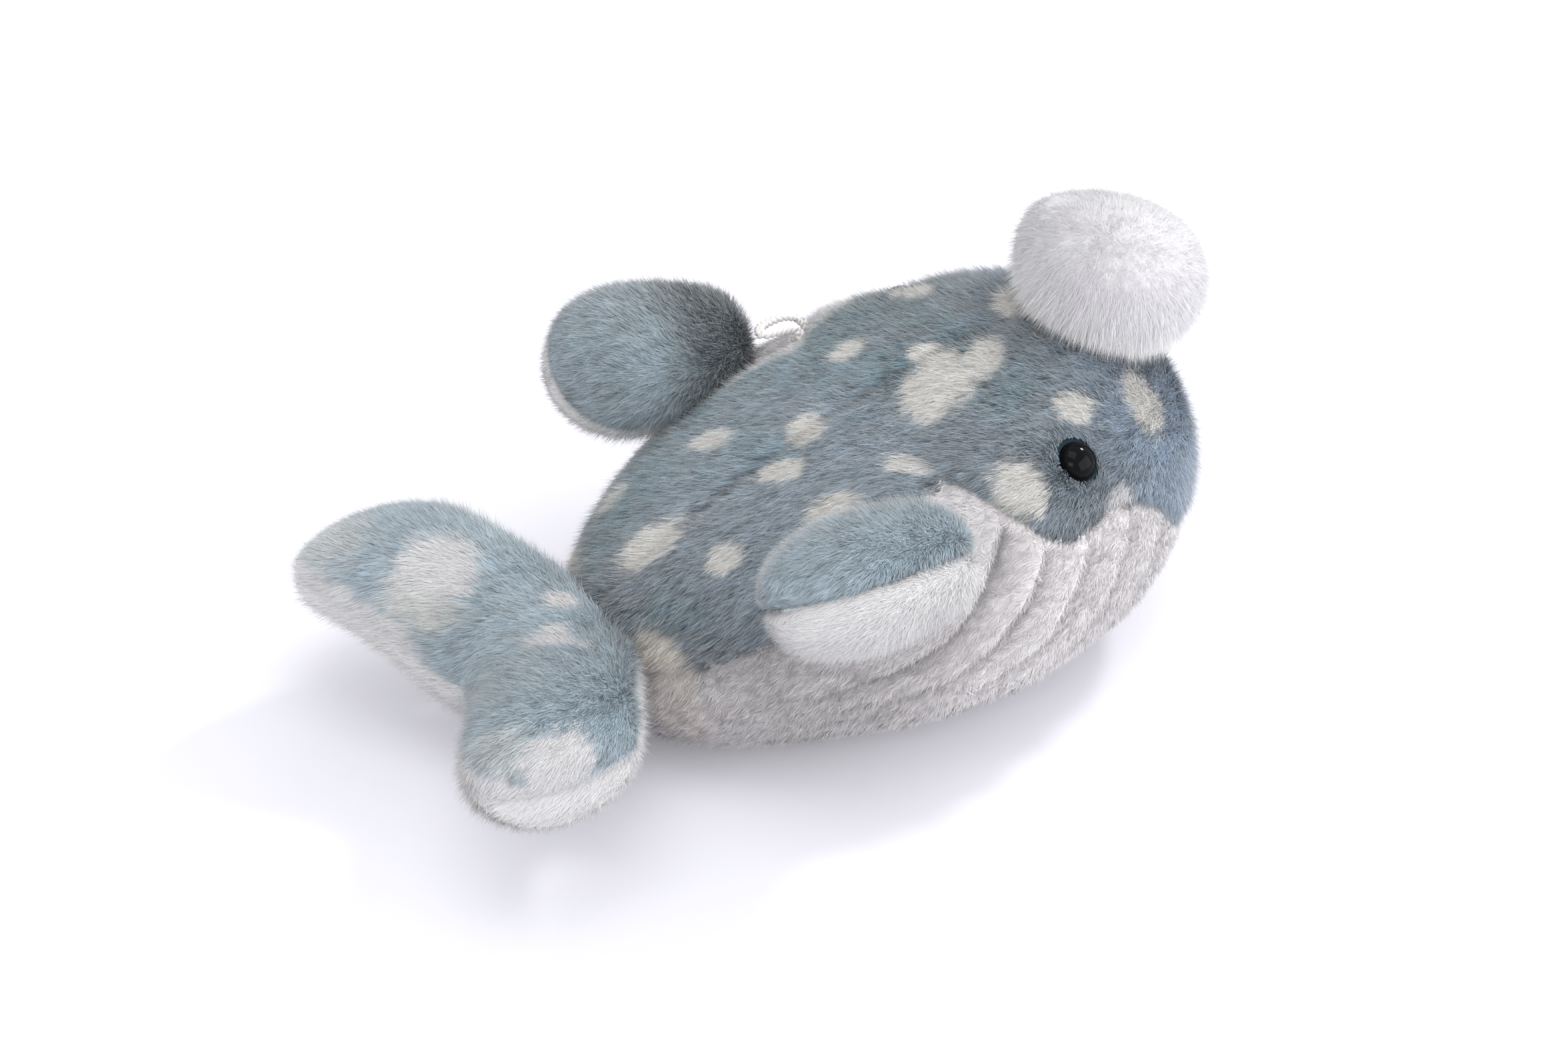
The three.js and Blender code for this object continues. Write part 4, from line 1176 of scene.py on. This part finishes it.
def makeEyes():
    black = plainMaterial("eye black", eyes["black"], 0.05, 3 * mm, specular=0.12)
    tealRim = plainMaterial("eye rim", eyes["teal"], 0.4, 0.6 * mm, specular=0.2)
    for side, name in ((1, "left"), (-1, "right")):
        centre, axis = eyeCentre(side)
        foot = -eyes["seat"]
        rim = foot + eyes["rim"]
        inner, outer, edge = eyes["radius"] * eyes["domeSize"], eyes["radius"] * eyes["rimSize"], eyes["edge"]
        profile = [(0, foot + 0.3 * mm), (inner, foot + 0.3 * mm)]
        for step in range(24):
            angle = math.pi / 2 * step / 24
            profile.append((inner * math.cos(angle), rim + eyes["dome"] * math.sin(angle)))
        profile.append((0, rim + eyes["dome"]))
        dome = latheObject("eye_" + name + "_dome", profile, 64, centre, axis, black)
        flange = [(0, foot - 0.2 * mm), (outer + 0.12 * mm, foot - 0.2 * mm)]
        for step in range(7):
            angle = -math.pi / 2 + math.pi * step / 6
            flange.append((outer + edge * math.cos(angle), rim - 0.1 * mm + edge * math.sin(angle)))
        flange += [(eyes["radius"] * 0.9, rim + 0.35 * mm), (0, rim + 0.3 * mm)]
        ring = latheObject("eye_" + name + "_rim", flange, 64, centre, axis, tealRim)
        for piece in (dome, ring):
            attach(piece, "body")
        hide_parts("eye_" + name)
    print("eyes done")


loop = {
    "front": 0.462,  # places along the whale of its two ends
    "rear": 0.49,
    "rise": 2.4 * mm,
    "trail": 12 * mm,
    "root": 4 * mm,
    "turn": 5 * mm,  # length of one turn of the plait
    "sway": 0.95 * mm,
    "over": 0.5 * mm,
    "strandRadius": 0.62 * mm,
    "colour": linear(240, 232, 230),
}


def loopPath():
    ends = []
    for place in (loop["front"], loop["rear"]):
        at = np.array([place])
        _, _, top, _, widest = curveThrough(bodyShares, at)
        middle = bodyPoint(at, np.array([0.0]))
        rise = (seamHeight(middle) + whale["pressedFlat"]) / whale["height"] - widest
        angle = np.arccos((rise / (top - widest)) ** (1 / whale["squareness"]))
        ends.append((bodyPoint(at, angle)[0], normalOf(bodyPoint, at, angle)[0]))
    (front, skin), (rear, rearSkin) = ends
    back = np.array([0, loop["trail"], 0])
    return np.array([
        front - skin * loop["root"], front + skin * loop["rise"] * 0.5, front + skin * loop["rise"] * 1.5 + back * 0.35,
        front + skin * loop["rise"] * 1.2 + back * 0.95, rear + rearSkin * loop["rise"] + back * 0.85,
        rear + rearSkin * loop["rise"] * 0.75 + back * 0.35, rear + rearSkin * loop["rise"] * 0.4,
        rear - rearSkin * loop["root"],
    ])


def tubeAlong(name, path, radius, sides, material):
    first, second = acrossOf(unit(np.gradient(path, axis=0)), (0.1, 0.2, 1))
    turn = 2 * math.pi * np.arange(sides) / sides
    around = np.cos(turn)[:, None] * first[:, None] + np.sin(turn)[:, None] * second[:, None]
    rings = path[:, None] + radius * around
    points = np.concatenate([path[:1], rings.reshape(-1, 3), path[-1:]])
    quads, caps = gridFaces(len(path), sides)
    obj = meshObject(name, points, [quads[:, ::-1], caps[:, ::-1]])
    obj.data.materials.append(material)
    return obj


def makeLoop():
    yarn = plainMaterial("loop yarn", loop["colour"], 0.8, 0.3 * mm, dent=0.5)
    path = curveThrough(loopPath(), np.linspace(0, 1, 180)).T
    first, second = acrossOf(unit(np.gradient(path, axis=0)), (0.1, 0.2, 1))
    travelled = np.concatenate([[0], np.cumsum(np.linalg.norm(np.diff(path, axis=0), axis=1))])
    for strand in range(3):
        # three strands plaited: each swings from side to side and over and under
        phase = 2 * math.pi * (travelled / loop["turn"] + strand / 3)[:, None]
        strandPath = path + loop["sway"] * np.sin(phase) * first + loop["over"] * np.sin(2 * phase) * second
        piece = tubeAlong(f"hang_loop_strand_{strand + 1}", strandPath, loop["strandRadius"], 10, yarn)
        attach(piece, "body")
        if strand == 0:
            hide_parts("hang_loop")
    print("loop done")


def dressInnerPieces():
    inner = {
        "filling": plainMaterial("polyester fibre", linear(240, 236, 228), 0.9, 0.8 * mm, dent=0.8),
        "washer": plainMaterial("washer plastic", linear(216, 216, 212), 0.5, 0.4 * mm, dent=0.1),
        "tie": plainMaterial("thread", linear(220, 220, 220), 0.8, 0.25 * mm, dent=0.6),
    }
    for name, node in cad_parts.items():
        for part, material in inner.items():
            if part in name:
                node.data.materials.clear()
                node.data.materials.append(material)
    print("inner pieces done")


def seenDirectly(nodes, links):
    # 1 where a camera, a mirror or a clear piece looks straight at it, 0 for the light that it sheds
    seen = nodes.new("ShaderNodeLightPath")
    last = seen.outputs["Is Camera Ray"]
    for kind in ("Is Glossy Ray", "Is Transmission Ray"):
        either = nodes.new("ShaderNodeMath")
        either.operation = "MAXIMUM"
        links.new(last, either.inputs[0])
        links.new(seen.outputs[kind], either.inputs[1])
        last = either.outputs["Value"]
    return last


studio = {
    "floorSize": 12,
    "paper": (0.76, 0.755, 0.82, 1),
    "paperGlow": 0.12,  # only where it is looked at
    "backdropLight": 0.86,  # against 1 where it is looked at
    "lightsAim": Vector((0, 0, 0.05)),
    # each lamp's place, size and watts
    "lamps": {
        "overhead softbox": ((-0.1, 0.15, 1.3), (0.9, 0.7), 3.2),
        "nose softbox": ((0.15, -0.9, 0.95), (0.18, 0.18), 5.5),
        "left softbox": ((-0.9, 1.0, 0.9), (0.7, 0.5), 3.4),
        "right softbox": ((-1.2, -0.8, 0.6), (1.8, 1.15), 12),
    },
}


def makeStage():
    bpy.ops.mesh.primitive_plane_add(size=studio["floorSize"], location=(0, 0, 0))
    floor = bpy.context.object
    floor.name = "studio_floor"
    material, nodes, links, shader = newMaterial("studio paper")
    setInputs(shader, {"Base Color": studio["paper"], "Roughness": 0.9, "Specular IOR Level": 0.1})
    glow = nodes.new("ShaderNodeEmission")
    bright = nodes.new("ShaderNodeMath")
    bright.operation = "MULTIPLY"
    bright.inputs[1].default_value = studio["paperGlow"]
    links.new(seenDirectly(nodes, links), bright.inputs[0])
    links.new(bright.outputs["Value"], glow.inputs["Strength"])
    both = nodes.new("ShaderNodeAddShader")
    links.new(shader.outputs["BSDF"], both.inputs[0])
    links.new(glow.outputs["Emission"], both.inputs[1])
    links.new(both.outputs["Shader"], nodes["Material Output"].inputs["Surface"])
    floor.data.materials.append(material)

    world = bpy.data.worlds.new("studio")
    bpy.context.scene.world = world
    world.use_nodes = True
    nodes, links = world.node_tree.nodes, world.node_tree.links
    background = nodes["Background"]
    background.inputs["Color"].default_value = (1, 1, 1, 1)
    level = nodes.new("ShaderNodeMapRange")
    setInputs(level, {"To Min": studio["backdropLight"], "To Max": 1})
    links.new(seenDirectly(nodes, links), level.inputs["Value"])
    links.new(level.outputs["Result"], background.inputs["Strength"])

    for name, (place, size, watts) in studio["lamps"].items():
        light = bpy.data.lights.new(name, "AREA")
        light.shape = "RECTANGLE"
        light.size, light.size_y = size
        light.energy = watts
        lamp = bpy.data.objects.new(name, light)
        bpy.context.scene.collection.objects.link(lamp)
        lamp.location = place
        lamp.rotation_euler = (studio["lightsAim"] - Vector(place)).to_track_quat("-Z", "Y").to_euler()
    print("studio done")


view = {
    "azimuth": math.radians(240),
    "elevation": math.radians(36),
    "distance": 1.2,
    "lens": 99.18,
    "target": Vector((0, 118.7 * mm + whale["noseY"], 50.7 * mm)),
}


def makeCamera():
    camera = bpy.data.cameras.new("camera")
    obj = bpy.data.objects.new("camera", camera)
    bpy.context.scene.collection.objects.link(obj)
    a, e = view["azimuth"], view["elevation"]
    back = Vector((math.sin(a) * math.cos(e), -math.cos(a) * math.cos(e), math.sin(e)))
    obj.location = view["target"] + back * view["distance"]
    obj.rotation_euler = (-back).to_track_quat("-Z", "Y").to_euler()
    camera.sensor_width = 36
    camera.lens = view["lens"]
    camera.clip_start = 0.02
    bpy.context.scene.camera = obj
    print("camera done")


makeCamera()
makeStage()
makeBody()
makeFlippers()
makeTail()
makePompom()
makeEyes()
makeLoop()
dressInnerPieces()
bpy.context.scene.view_settings.view_transform = "Standard"
